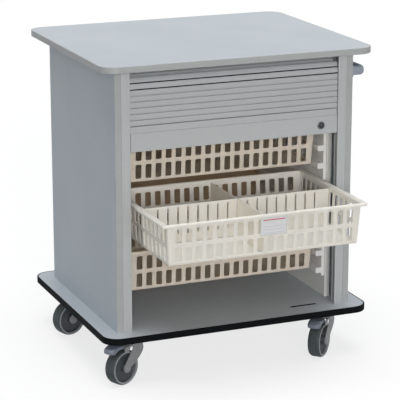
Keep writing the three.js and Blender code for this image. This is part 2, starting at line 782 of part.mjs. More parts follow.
function addWheel(word, turning) {
  const half = tyreWidth / 2;
  const bore = axleRadius + runningGap;
  const web = wheelWeb / 2;
  const hubEnd = half + forkSideGap - hubEndGap;
  const face = half - rimFaceSink;
  const rim = [
    [bore, -hubEnd], [hubRadius, -hubEnd], [hubRadius, -web], [rimRadius - rimLip - rimSlope, -web],
    [rimRadius - rimLip, -face], [rimRadius - seatGap, -face], [rimRadius - seatGap, face],
    [rimRadius - rimLip, face], [rimRadius - rimLip - rimSlope, web], [hubRadius, web], [hubRadius, hubEnd],
    [bore, hubEnd], [bore, -hubEnd]];
  addPiece(`${word}_wheel_rim`, ringAboutAxle(rim, wheelSides), 'rim', turning);
  const tyre = [
    [rimRadius, -face], [rimFaceRadius, -half], [wheelRadius - tyreEdge, -half + tyreShoulder / 2],
    [wheelRadius, -half + tyreShoulder], [wheelRadius, half - tyreShoulder],
    [wheelRadius - tyreEdge, half - tyreShoulder / 2], [rimFaceRadius, half], [rimRadius, face],
    [rimRadius, -face]];
  addPiece(`${word}_tyre`, ringAboutAxle(tyre, wheelSides), 'tyre', turning);
}

// Foot pedal of the brake: it turns on a pin between the fork arms and reaches out over the tyre.
// Its underside is the arc that lies evenly over the tyre when the pedal is pressed,
// turned back up about the pin.
function addPedal(word, turning, crownBottom) {
  const pinEnd = tyreWidth / 2 + forkSideGap + forkWall - runningGap;
  const pinZ = crownBottom - pedalAxisDrop;
  const lift = THREE.MathUtils.degToRad(pedalPress);
  const underside = pedalUnderAngles.map((degrees) => {
    const angle = THREE.MathUtils.degToRad(degrees);
    const radius = wheelRadius + pedalTyreGap;
    const x = casterTrail + radius * Math.cos(angle) - pedalAxisX;
    const z = wheelRadius + radius * Math.sin(angle) - pinZ;
    return [x * Math.cos(lift) - z * Math.sin(lift), x * Math.sin(lift) + z * Math.cos(lift)];
  });
  const tipLow = underside[underside.length - 1][1];
  const heel = pedalPinRadius + overrun;
  const lever = extrudeAlong(polygon([
    [-heel, -pedalPinRadius], [heel, -pedalPinRadius], ...underside,
    [pedalReach - pedalTipRound, tipLow], [pedalReach, tipLow + pedalTipRound],
    [pedalReach, tipLow + pedalTip - pedalTipRound], [pedalReach - pedalTipRound, tipLow + pedalTip],
    [pedalReach / 2, pedalRise], [2 * pedalPinRadius, pedalRise - overrun],
    [0, pedalPinRadius], [-heel, 0]]), -pedalWidth / 2, pedalWidth / 2);
  const plan = extrudeUp(
    roundedRectangle(2 * pedalReach, pedalWidth, pedalCorner), -pedalReach, 2 * pedalReach);
  const pin = rodAlongY(pedalPinRadius, -pinEnd, pinEnd);
  const pedal = toGeometry(toSolid(lever).intersect(toSolid(plan)).add(toSolid(pin)));
  pedal.translate(pedalAxisX, 0, pinZ);
  addPiece(`${word}_brake_pedal`, pedal, 'fork', turning);
}

function addCasters() {
  const rows = {
    front: -worktopDepth / 2 + casterFrontInset,
    rear: worktopDepth / 2 - casterRearInset,
  };
  for (const [row, y] of Object.entries(rows)) {
    for (const [word, side] of Object.entries(sides)) {
      const name = `${row}_${word}`;
      const x = side * (worktopWidth / 2 - casterSideInset) + casterOffset;
      addCaster(name, x, y, casterHeadings[name], row === 'front');
    }
  }
}

addBoards();
addCabinet();
addShutter();
addBaskets();
addHandle();
addCasters();

export default trolley;
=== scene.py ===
import json
import math

import bmesh
import bpy
import numpy as np
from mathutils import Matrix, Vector


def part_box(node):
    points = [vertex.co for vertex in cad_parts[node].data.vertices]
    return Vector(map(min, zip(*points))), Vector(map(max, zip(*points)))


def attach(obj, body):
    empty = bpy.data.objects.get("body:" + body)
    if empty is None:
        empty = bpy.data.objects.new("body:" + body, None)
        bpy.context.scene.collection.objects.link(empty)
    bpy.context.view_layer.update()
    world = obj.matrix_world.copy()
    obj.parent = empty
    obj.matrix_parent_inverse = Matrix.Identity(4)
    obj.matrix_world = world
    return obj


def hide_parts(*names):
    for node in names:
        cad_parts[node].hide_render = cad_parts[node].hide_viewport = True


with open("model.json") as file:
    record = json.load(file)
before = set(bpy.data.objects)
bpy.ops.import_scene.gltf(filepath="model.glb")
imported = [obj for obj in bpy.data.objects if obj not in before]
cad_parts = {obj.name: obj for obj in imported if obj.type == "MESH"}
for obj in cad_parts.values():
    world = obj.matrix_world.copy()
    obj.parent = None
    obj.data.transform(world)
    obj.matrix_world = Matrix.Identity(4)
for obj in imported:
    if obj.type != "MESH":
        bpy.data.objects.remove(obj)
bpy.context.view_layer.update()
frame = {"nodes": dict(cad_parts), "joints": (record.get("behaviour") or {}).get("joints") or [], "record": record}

# Shapes are worked out in millimetres, in the frame of the solids, and go into their meshes in metres.
scene = bpy.context.scene
scene.view_settings.view_transform = "Standard"
metre = 0.001
weld = 2e-6  # points nearer than this, in metres, become one
jointOf = {joint["name"]: joint for joint in frame["joints"]}


def nodeBox(node):
    low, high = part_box(node)
    return np.array(low) / metre, np.array(high) / metre


# Grids, profiles and loops

def gridFaces(rows, columns, wrapRows=False, wrapColumns=False):
    # quads of a grid numbered row by row; a wrapped way joins its last line to its first
    r, c = np.meshgrid(
        np.arange(rows if wrapRows else rows - 1),
        np.arange(columns if wrapColumns else columns - 1), indexing="ij")
    nextR, nextC = (r + 1) % rows, (c + 1) % columns
    quads = [r * columns + c, r * columns + nextC, nextR * columns + nextC, nextR * columns + c]
    return np.stack(quads, -1).reshape(-1, 4)


def joinShapes(*shapes):
    # a shape is its points and a list of face arrays; each one's numbers move up by the points before it
    points, faces, start = [], [], 0
    for shapePoints, shapeFaces in shapes:
        points.append(shapePoints)
        faces += [block + start for block in shapeFaces]
        start += len(shapePoints)
    return np.concatenate(points), faces


def roundCorners(outline, radius, steps=4, hold=0.3):
    # each corner turns into an arc that touches both its sides, between two points that hold the flats flat
    p = np.asarray(outline, float)
    r = np.broadcast_to(np.asarray(radius, float), len(p))
    back, ahead = np.roll(p, 1, 0) - p, np.roll(p, -1, 0) - p
    back /= np.linalg.norm(back, axis=1)[:, None]
    ahead /= np.linalg.norm(ahead, axis=1)[:, None]
    half = np.arccos(np.clip((back * ahead).sum(1), -1, 1)) / 2
    reach = r / np.tan(half)
    middle = back + ahead
    middle /= np.linalg.norm(middle, axis=1)[:, None]
    centre = p + middle * (r / np.sin(half))[:, None]
    sweep = np.pi - 2 * half
    t = np.linspace(0, 1, steps + 1)
    fromStart = (np.sin((1 - t) * sweep[:, None]) / np.sin(sweep)[:, None])[:, :, None]
    fromEnd = (np.sin(t * sweep[:, None]) / np.sin(sweep)[:, None])[:, :, None]
    start = p + back * reach[:, None] - centre
    end = p + ahead * reach[:, None] - centre
    arc = centre[:, None] + fromStart * start[:, None] + fromEnd * end[:, None]
    before = (p + back * (reach + hold)[:, None])[:, None]
    after = (p + ahead * (reach + hold)[:, None])[:, None]
    return np.concatenate([before, arc, after], 1).reshape(-1, 2)


def carryProfile(profile, stations, axis):
    # a closed profile in the plane across an axis, carried straight to each station; one face closes each end
    stations = np.asarray(stations, float)
    grid = np.zeros((len(stations), len(profile), 3))
    first, second = [k for k in range(3) if k != axis]
    grid[:, :, first] = profile[None, :, 0]
    grid[:, :, second] = profile[None, :, 1]
    grid[:, :, axis] = stations[:, None]
    ring = np.arange(len(profile))[None]
    ends = [ring[:, ::-1], ring + len(profile) * (len(stations) - 1)]
    return grid.reshape(-1, 3), [gridFaces(*grid.shape[:2], wrapColumns=True)] + ends


def turnProfile(profile, sides=40, axis=1, closed=False):
    # a profile of (radius, place along the axis) turned once about the axis through the origin
    profile = np.asarray(profile, float)
    angle = np.linspace(0, 2 * np.pi, sides, endpoint=False)
    grid = np.zeros((sides, len(profile), 3))
    first, second = [k for k in range(3) if k != axis]
    grid[:, :, first] = np.cos(angle)[:, None] * profile[:, 0]
    grid[:, :, second] = np.sin(angle)[:, None] * profile[:, 0]
    grid[:, :, axis] = profile[:, 1]
    return grid.reshape(-1, 3), [gridFaces(sides, len(profile), wrapRows=True, wrapColumns=closed)]


def boardLoop(halfX, halfY, radius, steps=12, hold=1.5):
    # a rounded rectangle as a loop of points with the outward direction at each
    angle = np.linspace(0, np.pi / 2, steps + 1) + np.arange(4)[:, None] * np.pi / 2
    outward = np.stack([np.cos(angle), np.sin(angle)], -1)
    sign = np.array([[1, 1], [-1, 1], [-1, -1], [1, -1]])
    arc = (sign * [halfX - radius, halfY - radius])[:, None] + radius * outward
    along = np.stack([-outward[..., 1], outward[..., 0]], -1)
    points = np.concatenate([arc[:, :1] - hold * along[:, :1], arc, arc[:, -1:] + hold * along[:, -1:]], 1)
    outward = np.concatenate([outward[:, :1], outward, outward[:, -1:]], 1)
    return points.reshape(-1, 2), outward.reshape(-1, 2)


def layLoops(points, outward, levels, closed=False):
    # the loop moved in and up to each (inset, height) level; closed levels make a ring, open ones a capped slab
    levels = np.asarray(levels, float)
    grid = np.zeros((len(levels), len(points), 3))
    grid[:, :, :2] = points - outward * levels[:, :1, None]
    grid[:, :, 2] = levels[:, 1:]
    faces = [gridFaces(*grid.shape[:2], wrapRows=closed, wrapColumns=True)]
    if not closed:
        ring = np.arange(len(points))[None]
        faces += [ring[:, ::-1], ring + len(points) * (len(levels) - 1)]
    return grid.reshape(-1, 3), faces


def bezier(first, mid, last, steps=8):
    # a bow from the first point to the last, drawn towards the middle one
    t = np.linspace(0, 1, steps + 1)[:, None]
    return (1 - t) ** 2 * np.array(first) + 2 * t * (1 - t) * np.array(mid) + t ** 2 * np.array(last)


def roundEdge(radius, top, steps=4):
    # (inset, height) levels over a quarter round that ends at the top
    angle = np.linspace(0, np.pi / 2, steps + 1)[1:]
    return np.stack([radius * (1 - np.cos(angle)), top - radius + radius * np.sin(angle)], -1)


def moveShape(shape, offset=(0, 0, 0), turn=0.0):
    # a turn about the upright axis, then a move
    points, faces = shape
    c, s = math.cos(turn), math.sin(turn)
    return points @ np.array([[c, s, 0], [-s, c, 0], [0, 0, 1]]) + np.asarray(offset, float), faces


def addObject(name, data):
    holder = bpy.data.objects.new(name, data)
    scene.collection.objects.link(holder)
    return holder


def addPiece(name, shape, finish, body, slot, replaced=(), sheet=False, wall=0.0, rounding=0.0, sharpFrom=40):
    # welds the shape, closes and turns its faces, then gives it its finish, wall, edge rounding and body
    points, faces = shape
    mesh = bpy.data.meshes.new(name)
    mesh.from_pydata((points * metre).tolist(), [], [face for block in faces for face in block.tolist()])
    work = bmesh.new()
    work.from_mesh(mesh)
    bmesh.ops.remove_doubles(work, verts=work.verts, dist=weld)
    if not sheet:
        bmesh.ops.recalc_face_normals(work, faces=work.faces)
    work.to_mesh(mesh)
    work.free()
    mesh.shade_smooth()
    mesh.set_sharp_from_angle(angle=math.radians(sharpFrom))
    piece = addObject(name, mesh)
    mesh.materials.append(finish)
    if wall:
        shell = piece.modifiers.new("wall", "SOLIDIFY")
        shell.thickness = wall * metre
        shell.offset = -1 if sheet != "middle" else 0
        shell.use_even_offset = True
    if rounding:
        edge = piece.modifiers.new("edges", "BEVEL")
        edge.width = rounding * metre
        edge.segments = 2
        edge.limit_method = "ANGLE"
        edge.angle_limit = math.radians(sharpFrom)
        edge.harden_normals = True
    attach(piece, body)
    if replaced:
        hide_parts(*replaced)


# Finishes

def tone(red, green, blue):
    # a colour as the eye reads it, 0 to 255, turned into the light that the shader takes
    c = np.array([red, green, blue]) / 255
    light = np.where(c <= 0.04045, c / 12.92, ((c + 0.055) / 1.055) ** 2.4)
    return (*light.tolist(), 1.0)


def newGroup(name, inputs, outputs):
    # inputs by name with their usual values, where none stands for a place; outputs are plain values
    group = bpy.data.node_groups.new(name, "ShaderNodeTree")
    for label, value in inputs.items():
        kind = "NodeSocketVector" if value is None else "NodeSocketFloat"
        socket = group.interface.new_socket(name=label, in_out="INPUT", socket_type=kind)
        if value is not None:
            socket.default_value = value
    for label in outputs:
        group.interface.new_socket(name=label, in_out="OUTPUT", socket_type="NodeSocketFloat")
    return group, group.nodes.new("NodeGroupInput"), group.nodes.new("NodeGroupOutput")


def fillInputs(tree, node, links):
    # values or sockets put into a node's inputs by number or name
    for key, value in links.items():
        if isinstance(value, bpy.types.NodeSocket):
            tree.links.new(value, node.inputs[key])
        else:
            node.inputs[key].default_value = value


def addNode(tree, kind, links=None, **settings):
    node = tree.nodes.new(kind)
    for key, value in settings.items():
        setattr(node, key, value)
    fillInputs(tree, node, links or {})
    return node


def maths(tree, operation, first, second=0.0):
    return addNode(tree, "ShaderNodeMath", {0: first, 1: second}, operation=operation).outputs[0]


def noise(tree, place, scale, detail, roughness=0.5):
    return addNode(tree, "ShaderNodeTexNoise", {
        "Vector": place, "Scale": scale, "Detail": detail, "Roughness": roughness}).outputs[0]


def remap(tree, value, low, high, toLow=0.0, toHigh=1.0, blend="LINEAR"):
    return addNode(tree, "ShaderNodeMapRange", {
        "Value": value, "From Min": low, "From Max": high, "To Min": toLow, "To Max": toHigh},
        interpolation_type=blend).outputs[0]


# each noise as (scale, detail, roughness), or as much of it as isn't left open; edges as (none, full)
grainForm = {"grain": (3.0, 0.6), "clouds": (5.0, 0.55), "cloudEdges": (0.3, 0.7)}
scuffForm = {"rubs": ((0.5, (14, 260, 14)), (-0.9, (240, 18, 18))), "tilt": 0.4, "rub": (1.0, 2.0),
             "rubEdges": (0.63, 0.72), "worn": (5.0, 2.0), "wornEdges": (0.45, 0.7)}
dustForm = {"facingEdges": (0.1, 1.0), "patches": (35.0, 6.0, 0.65), "patchEdges": (0.35, 0.75)}


def grainGroup(form):
    # fine grain, and soft clouds of shade
    group, start, end = newGroup(
        "fineGrain", {"Place": None, "Grain": 900.0, "Clouds": 6.0}, ["Grain", "Clouds"])
    place = start.outputs["Place"]
    soft = noise(group, place, start.outputs["Clouds"], *form["clouds"])
    fillInputs(group, end, {
        "Grain": noise(group, place, start.outputs["Grain"], *form["grain"]),
        "Clouds": remap(group, soft, *form["cloudEdges"], blend="SMOOTHSTEP")})
    return group


def scuffGroup(form):
    # short fine rubs: noise drawn out into thin lines, kept only in worn clouds
    group, start, end = newGroup("handlingScuffs", {"Place": None, "Amount": 0.2}, ["Scuffs"])
    place = start.outputs["Place"]
    lines = []
    for turn, scale in form["rubs"]:
        drawn = addNode(group, "ShaderNodeMapping", {
            "Vector": place, "Rotation": (turn, form["tilt"], turn), "Scale": scale}).outputs[0]
        lines.append(remap(group, noise(group, drawn, *form["rub"]), *form["rubEdges"]))
    worn = remap(group, noise(group, place, *form["worn"]), *form["wornEdges"])
    kept = maths(group, "MULTIPLY", maths(group, "MAXIMUM", *lines), worn)
    fillInputs(group, end, {"Scuffs": maths(group, "MULTIPLY", kept, start.outputs["Amount"])})
    return group


def dustGroup(form):
    # dust that settles where a surface faces up, in uneven patches
    group, start, end = newGroup("settledDust", {"Place": None, "Amount": 0.2}, ["Dust"])
    facing = addNode(group, "ShaderNodeNewGeometry").outputs["Normal"]
    upward = addNode(group, "ShaderNodeSeparateXYZ", {0: facing}).outputs[2]
    up = remap(group, upward, *form["facingEdges"])
    uneven = remap(group, noise(group, start.outputs["Place"], *form["patches"]), *form["patchEdges"])
    laid = maths(group, "MULTIPLY", up, uneven)
    fillInputs(group, end, {"Dust": maths(group, "MULTIPLY", laid, start.outputs["Amount"])})
    return group


grain, scuffs, dust = grainGroup(grainForm), scuffGroup(scuffForm), dustGroup(dustForm)


def mixColours(tree, share, first, second):
    return addNode(tree, "ShaderNodeMix", {0: share, 6: first, 7: second}, data_type="RGBA").outputs[2]


def newFinish(name):
    finish = bpy.data.materials.new(name)
    finish.use_nodes = True
    return finish, finish.node_tree, finish.node_tree.nodes["Principled BSDF"]


# what a finish has where its own values say nothing else
usualLook = {
    "clouds": 20, "speckle": 0.4, "cloudShare": 0.5, "stretch": (1, 1, 1), "depth": 0.04, "scuff": 0.0,
    "dust": 0.0, "metal": 0.0, "specular": 0.5, "inside": 0.0, "insideTint": (1.0, 0.95, 0.85),
    "insideReach": 0.0}


def makeFinish(name, ownLook):
    # base and shade mix in clouds, scuffs and dust lie over them, and the grain gives gloss and a fine bump
    look = {**usualLook, **ownLook}
    finish, tree, shader = newFinish(name)
    place = addNode(tree, "ShaderNodeTexCoord").outputs["Object"]
    drawn = addNode(tree, "ShaderNodeMapping", {"Vector": place, "Scale": look["stretch"]}).outputs[0]
    fine = addNode(tree, "ShaderNodeGroup", node_tree=grain)
    fillInputs(tree, fine, {"Place": drawn, "Grain": look["grain"], "Clouds": look["clouds"]})
    speckle = remap(tree, fine.outputs["Grain"], 0.3, 0.7, 0.5 - look["speckle"], 0.5 + look["speckle"])
    mixed = addNode(tree, "ShaderNodeMix", {
        0: look["cloudShare"], 2: speckle, 3: fine.outputs["Clouds"]}).outputs[0]
    colour = mixColours(tree, mixed, tone(*look["base"]), tone(*look["shade"]))
    for layer, group in (("scuff", scuffs), ("dust", dust)):
        if look[layer]:
            mask = addNode(tree, "ShaderNodeGroup", {"Place": place, "Amount": look[layer]}, node_tree=group)
            colour = mixColours(tree, mask.outputs[0], colour, tone(*look[layer + "Tone"]))
    bump = addNode(tree, "ShaderNodeBump", {
        "Strength": look["bump"], "Distance": look["depth"] * metre, "Height": fine.outputs["Grain"]})
    fillInputs(tree, shader, {
        "Base Color": colour, "Roughness": remap(tree, mixed, 0.0, 1.0, *look["rough"]),
        "Normal": bump.outputs[0], "Metallic": look["metal"], "Specular IOR Level": look["specular"],
        "Subsurface Weight": look["inside"], "Subsurface Radius": look["insideTint"],
        "Subsurface Scale": look["insideReach"] * metre})
    return finish


laminate = makeFinish("greyLaminate", {
    "base": (191, 199, 207), "shade": (183, 191, 199), "grain": 1500, "clouds": 4, "speckle": 0.35,
    "cloudShare": 0.4, "rough": (0.42, 0.56), "bump": 0.25, "depth": 0.03, "scuff": 0.25,
    "scuffTone": (201, 208, 215)})
edging = makeFinish("edgeStrip", {
    "base": (168, 171, 173), "shade": (160, 163, 165), "grain": 700, "clouds": 14, "speckle": 0.3,
    "rough": (0.38, 0.5), "bump": 0.2, "depth": 0.03, "stretch": (1, 1, 3), "scuff": 0.3,
    "scuffTone": (184, 187, 189)})
bumper = makeFinish("bumperRubber", {
    "base": (13, 16, 18), "shade": (19, 22, 24), "grain": 1200, "clouds": 25, "specular": 0.04,
    "rough": (0.55, 0.75), "bump": 0.4, "depth": 0.05, "scuff": 0.2, "scuffTone": (40, 44, 47),
    "dust": 0.06, "dustTone": (60, 63, 65)})
# painted shade: a darker, bluer copy of the grey laminate, for the dimmer, cooler light on the panels' sides
panel = makeFinish("shadedPanelLaminate", {
    "base": (184, 195, 204), "shade": (178, 188, 197), "grain": 1500, "clouds": 3.5, "speckle": 0.35,
    "cloudShare": 0.4, "rough": (0.42, 0.55), "bump": 0.25, "depth": 0.03, "scuff": 0.2,
    "scuffTone": (198, 206, 213)})
lining = makeFinish("liningLaminate", {
    "base": (233, 234, 232), "shade": (226, 227, 225), "grain": 1500, "clouds": 5, "speckle": 0.35,
    "cloudShare": 0.4, "rough": (0.42, 0.55), "bump": 0.25, "depth": 0.03, "scuff": 0.25,
    "scuffTone": (235, 235, 232)})
# painted shade: the brown of the sheet inside the back stands in for the warm shade deep in the cabinet
shadeBacking = makeFinish("brownShadeBacking", {
    "base": (190, 168, 142), "shade": (172, 149, 122), "grain": 500, "clouds": 30, "speckle": 0.5,
    "cloudShare": 0.35, "rough": (0.6, 0.75), "bump": 0.4, "depth": 0.06, "stretch": (1, 1, 0.6)})
profile = makeFinish("satinProfile", {
    "base": (177, 181, 183), "shade": (167, 171, 173), "grain": 60, "clouds": 9, "speckle": 0.45,
    "stretch": (40, 40, 0.6), "rough": (0.34, 0.46), "bump": 0.12, "depth": 0.02, "metal": 0.25})
shutter = makeFinish("slatPlastic", {
    "base": (180, 184, 187), "shade": (172, 176, 180), "grain": 1400, "clouds": 7, "stretch": (0.5, 1, 1),
    "cloudShare": 0.35, "rough": (0.4, 0.55), "bump": 0.3, "scuff": 0.2, "scuffTone": (187, 190, 193)})
support = makeFinish("ledgePlastic", {
    "base": (232, 233, 233), "shade": (222, 223, 224), "grain": 1300, "clouds": 12, "rough": (0.45, 0.6),
    "bump": 0.35, "dust": 0.12, "dustTone": (190, 188, 182)})
# painted light and shade: the baskets' one plastic comes in two copies, this warmer, darker one for the top and
# bottom baskets in the cabinet's shade, and a paler, whiter one for the pulled-out middle basket and its dividers
# in the light
basketLook = {
    "base": (236, 221, 206), "shade": (228, 211, 193), "grain": 1100, "clouds": 9, "speckle": 0.35,
    "cloudShare": 0.55, "rough": (0.36, 0.52), "bump": 0.25, "scuff": 0.2, "scuffTone": (240, 229, 217),
    "dust": 0.1, "dustTone": (204, 188, 168), "inside": 0.9, "insideReach": 10.0}
shadedCream = makeFinish("shadedCreamPlastic", basketLook)
litPaleCream = makeFinish("litPalePlastic", {
    **basketLook, "base": (242, 238, 229), "shade": (237, 231, 220), "scuffTone": (243, 241, 235),
    "dustTone": (218, 212, 201)})
lockMetal = makeFinish("nickelPlate", {
    "base": (104, 107, 111), "shade": (84, 87, 91), "grain": 2500, "clouds": 60, "rough": (0.2, 0.34),
    "bump": 0.1, "depth": 0.02, "metal": 1.0})
plugMetal = makeFinish("darkPlug", {
    "base": (58, 61, 65), "shade": (46, 49, 53), "grain": 2500, "clouds": 80, "rough": (0.25, 0.4),
    "bump": 0.1, "depth": 0.02, "metal": 0.8})
grip = makeFinish("gripPlastic", {
    "base": (152, 160, 172), "shade": (140, 148, 161), "grain": 1400, "clouds": 14, "rough": (0.36, 0.5),
    "bump": 0.3, "scuff": 0.3, "scuffTone": (176, 182, 191)})
zinc = makeFinish("zincPlate", {
    "base": (168, 171, 175), "shade": (138, 142, 147), "grain": 700, "clouds": 45, "speckle": 0.45,
    "rough": (0.28, 0.45), "bump": 0.15, "depth": 0.03, "metal": 0.9, "dust": 0.15,
    "dustTone": (120, 118, 112)})
forkLook = {
    "base": (142, 144, 147), "shade": (128, 130, 134), "grain": 1500, "speckle": 0.45, "rough": (0.4, 0.56),
    "bump": 0.4, "depth": 0.05, "scuff": 0.35, "scuffTone": (168, 170, 172), "dust": 0.2,
    "dustTone": (165, 164, 160)}
nylon = makeFinish("casterNylon", forkLook)
pedalNylon = makeFinish("pedalNylon", {
    **forkLook, "base": (113, 121, 135), "shade": (101, 109, 123), "scuffTone": (150, 155, 162),
    "dustTone": (146, 148, 150)})
wheelGrey = makeFinish("wheelRing", {
    "base": (152, 157, 161), "shade": (138, 143, 148), "grain": 1300, "clouds": 22, "rough": (0.4, 0.55),
    "bump": 0.3, "dust": 0.2, "dustTone": (170, 168, 164)})
wheelDark = makeFinish("wheelDisc", {
    "base": (65, 70, 74), "shade": (55, 60, 64), "grain": 1300, "clouds": 25, "rough": (0.45, 0.62),
    "bump": 0.35, "dust": 0.2, "dustTone": (120, 118, 114)})
tread = makeFinish("greyTread", {
    "base": (60, 68, 71), "shade": (49, 57, 60), "grain": 900, "clouds": 30, "speckle": 0.45,
    "rough": (0.6, 0.82), "bump": 0.5, "depth": 0.06, "scuff": 0.3, "scuffTone": (96, 100, 100),
    "dust": 0.15, "dustTone": (112, 112, 108)})
pocket = makeFinish("cardPocket", {
    "base": (226, 227, 224), "shade": (216, 218, 216), "grain": 900, "clouds": 30, "speckle": 0.2,
    "rough": (0.12, 0.22), "bump": 0.08, "depth": 0.02, "scuff": 0.3, "scuffTone": (240, 240, 238)})


cardLook = {
    "paper": (228, 229, 233), "paperShade": (218, 219, 224), "rule": (176, 182, 192), "stripe": (196, 44, 52),
    "rulePitch": 9.0, "ruleWidth": 0.7, "firstRule": 20.0, "stripeHigh": 7.5, "stripeLow": 10.0,
    "sideMargin": 5.0, "rough": (0.45, 0.6), "bump": 0.15, "depth": 0.02}


def cardFinish(look):
    # a blank printed card: thin rules below one thin stripe, by the distance down from the card's top edge
    finish, tree, shader = newFinish("ruledCard")
    low, high = nodeBox("label_card")
    place = addNode(tree, "ShaderNodeTexCoord").outputs["Object"]
    drawn = addNode(tree, "ShaderNodeMapping", {
        "Vector": place, "Scale": (1 / metre,) * 3, "Location": (-(low[0] + high[0]) / 2, 0, -high[2])})
    axes = addNode(tree, "ShaderNodeSeparateXYZ", {0: drawn.outputs[0]})
    down = maths(tree, "MULTIPLY", axes.outputs[2], -1.0)
    across = maths(tree, "ABSOLUTE", axes.outputs[0])
    inside = maths(tree, "LESS_THAN", across, (high[0] - low[0]) / 2 - look["sideMargin"])
    line = maths(tree, "LESS_THAN", maths(tree, "MODULO", down, look["rulePitch"]), look["ruleWidth"])
    rule = maths(tree, "MULTIPLY", line, maths(tree, "GREATER_THAN", down, look["firstRule"]))
    over = maths(tree, "GREATER_THAN", down, look["stripeHigh"])
    stripe = maths(tree, "MULTIPLY", over, maths(tree, "LESS_THAN", down, look["stripeLow"]))
    fibre = addNode(tree, "ShaderNodeGroup", node_tree=grain)
    tree.links.new(place, fibre.inputs["Place"])
    colour = mixColours(tree, fibre.outputs["Grain"], tone(*look["paper"]), tone(*look["paperShade"]))
    for mask, ink in ((rule, "rule"), (stripe, "stripe")):
        colour = mixColours(tree, maths(tree, "MULTIPLY", mask, inside), colour, tone(*look[ink]))
    bump = addNode(tree, "ShaderNodeBump", {
        "Strength": look["bump"], "Distance": look["depth"] * metre, "Height": fibre.outputs["Grain"]})
    fillInputs(tree, shader, {
        "Base Color": colour, "Roughness": remap(tree, fibre.outputs["Clouds"], 0.0, 1.0, *look["rough"]),
        "Normal": bump.outputs[0]})
    return finish


card = cardFinish(cardLook)
print("finishes:", len(bpy.data.materials))


def dressNodes(finish, *nodes):
    # solids that stay in sight take a finish of their own
    for node in nodes:
        mesh = frame["nodes"][node].data
        mesh.materials.clear()
        mesh.materials.append(finish)


# Boards

boardForm = {"corner": 46.0, "edging": 2.0, "soft": 0.5, "edgeRound": 1.6, "steps": 14}
topLow, topHigh = nodeBox("worktop_edging")
topHalf, topMiddle = (topHigh - topLow) / 2, (topHigh + topLow) / 2


def addWorktop(form):
    # a rounded slab with softened edges, and the strip that goes round it
    inner = form["edging"]
    centre = (topMiddle[0], topMiddle[1], 0)
    points, outward = boardLoop(topHalf[0] - inner, topHalf[1] - inner, form["corner"] - inner, form["steps"])
    slab = layLoops(points, outward, [
        (form["soft"], topLow[2]), (0, topLow[2] + form["soft"]),
        (0, topHigh[2] - form["soft"]), (form["soft"], topHigh[2])])
    addPiece("worktopBoard", moveShape(slab, centre), laminate, "cabinet", "laminate", ["worktop"])
    # the strip's section as (inset, height), round at its two outer edges
    section = roundCorners(
        [(inner, topHigh[2]), (0, topHigh[2]), (0, topLow[2]), (inner, topLow[2])],
        [0, form["edgeRound"], form["edgeRound"], 0], hold=0.2)
    points, outward = boardLoop(topHalf[0], topHalf[1], form["corner"], form["steps"])
    strip = layLoops(points, outward, section, closed=True)
    addPiece("worktopStrip", moveShape(strip, centre), edging, "cabinet", "edging", ["worktop_edging"])


bumperForm = {"lipReach": 1.6, "lipHeight": 0.4, "lipRound": 0.15, "faceRound": 1.4,
              "grooves": (5.0, 9.0, 13.0), "groove": 0.7, "grooveHalf": 0.9, "grooveRound": 0.2}
# painted shade: the keeper slot is lined with a black tray so that it reads as a dark gap
keeperShadeForm = {"half": (41.9, 4.4), "corner": 1.4, "wall": 0.9, "rise": 0.2, "floor": 1.5}


def addBumper(form, corner, steps):
    low, high = nodeBox("base_bumper")
    half, middle = (high - low) / 2, (high + low) / 2
    inner = low[0] - nodeBox("base_board")[0][0]
    lip, deep, reach = form["lipHeight"], form["groove"], form["lipReach"]
    # section as (inset, height): a lip over the board, a round nose with shallow grooves, a lip under the board
    face = [(deep * (shift == 0), high[2] - place + shift * form["grooveHalf"])
            for place in form["grooves"] for shift in (1, 0, -1)]
    outline = [(-inner, high[2]), (reach, high[2]), (reach, high[2] + lip), (0, high[2] + lip)] + face + [
        (0, low[2] - lip), (reach, low[2] - lip), (reach, low[2]), (-inner, low[2])]
    radius = [0, 0, form["lipRound"], form["faceRound"]] + [form["grooveRound"]] * len(face) + [
        form["faceRound"], form["lipRound"], 0, 0]
    section = roundCorners(outline, radius, steps=3, hold=0.05)
    points, outward = boardLoop(half[0], half[1], corner, steps)
    strip = layLoops(points, outward, section, closed=True)
    addPiece("baseBumper", moveShape(strip, (middle[0], middle[1], 0)), bumper, "cabinet", "bumper",
             ["base_bumper"])


def addKeeperShade(form):
    # painted shade: a black tray let into the slot of the base board stands in for the shade in the slot; it runs
    # up its outer side, over its rim and down to its floor
    slot = next(row for row in frame["record"]["physics"]["openings"] if row["name"] == "keeper_slot")
    middle = np.mean(slot["box_m"], axis=0) / metre
    low, high = nodeBox("base_board")
    points, outward = boardLoop(*form["half"], form["corner"], steps=4, hold=0.2)
    tray = layLoops(points, outward, [
        (0, low[2] + form["rise"]), (0, high[2] + form["rise"]),
        (form["wall"], high[2] + form["rise"]), (form["wall"], low[2] + form["floor"])])
    addPiece("keeperShadeTray", moveShape(tray, (middle[0], middle[1], 0)), bumper, "cabinet", "bumper")


addWorktop(boardForm)
addBumper(bumperForm, boardForm["corner"], boardForm["steps"])
addKeeperShade(keeperShadeForm)
dressNodes(laminate, "base_board")
print("boards")


# Cabinet panels and profiles

panelForm = {"edgeRound": 1.0, "strip": 2.0, "liner": 1.2, "sharp": 0.2}
jambForm = {"grooveFront": 7.2, "grooveBack": 16.8, "grooveDepth": 14.0, "reliefFrom": 672.0, "edgeRound": 1.2,
            "rootRound": 0.4}


def rectangle(low, high, first, second):
    # a box's outline seen along the third axis
    a, b, c, d = low[first], low[second], high[first], high[second]
    return [(a, b), (c, b), (c, d), (a, d)]


def standBoard(name, low, high, radius, finish, slot, replaced=()):
    # a board stood on edge: its plan with rounded edges, carried up
    plan = roundCorners(rectangle(low, high, 0, 1), radius)
    addPiece(name, carryProfile(plan, [low[2], high[2]], 2), finish, "cabinet", slot, replaced)


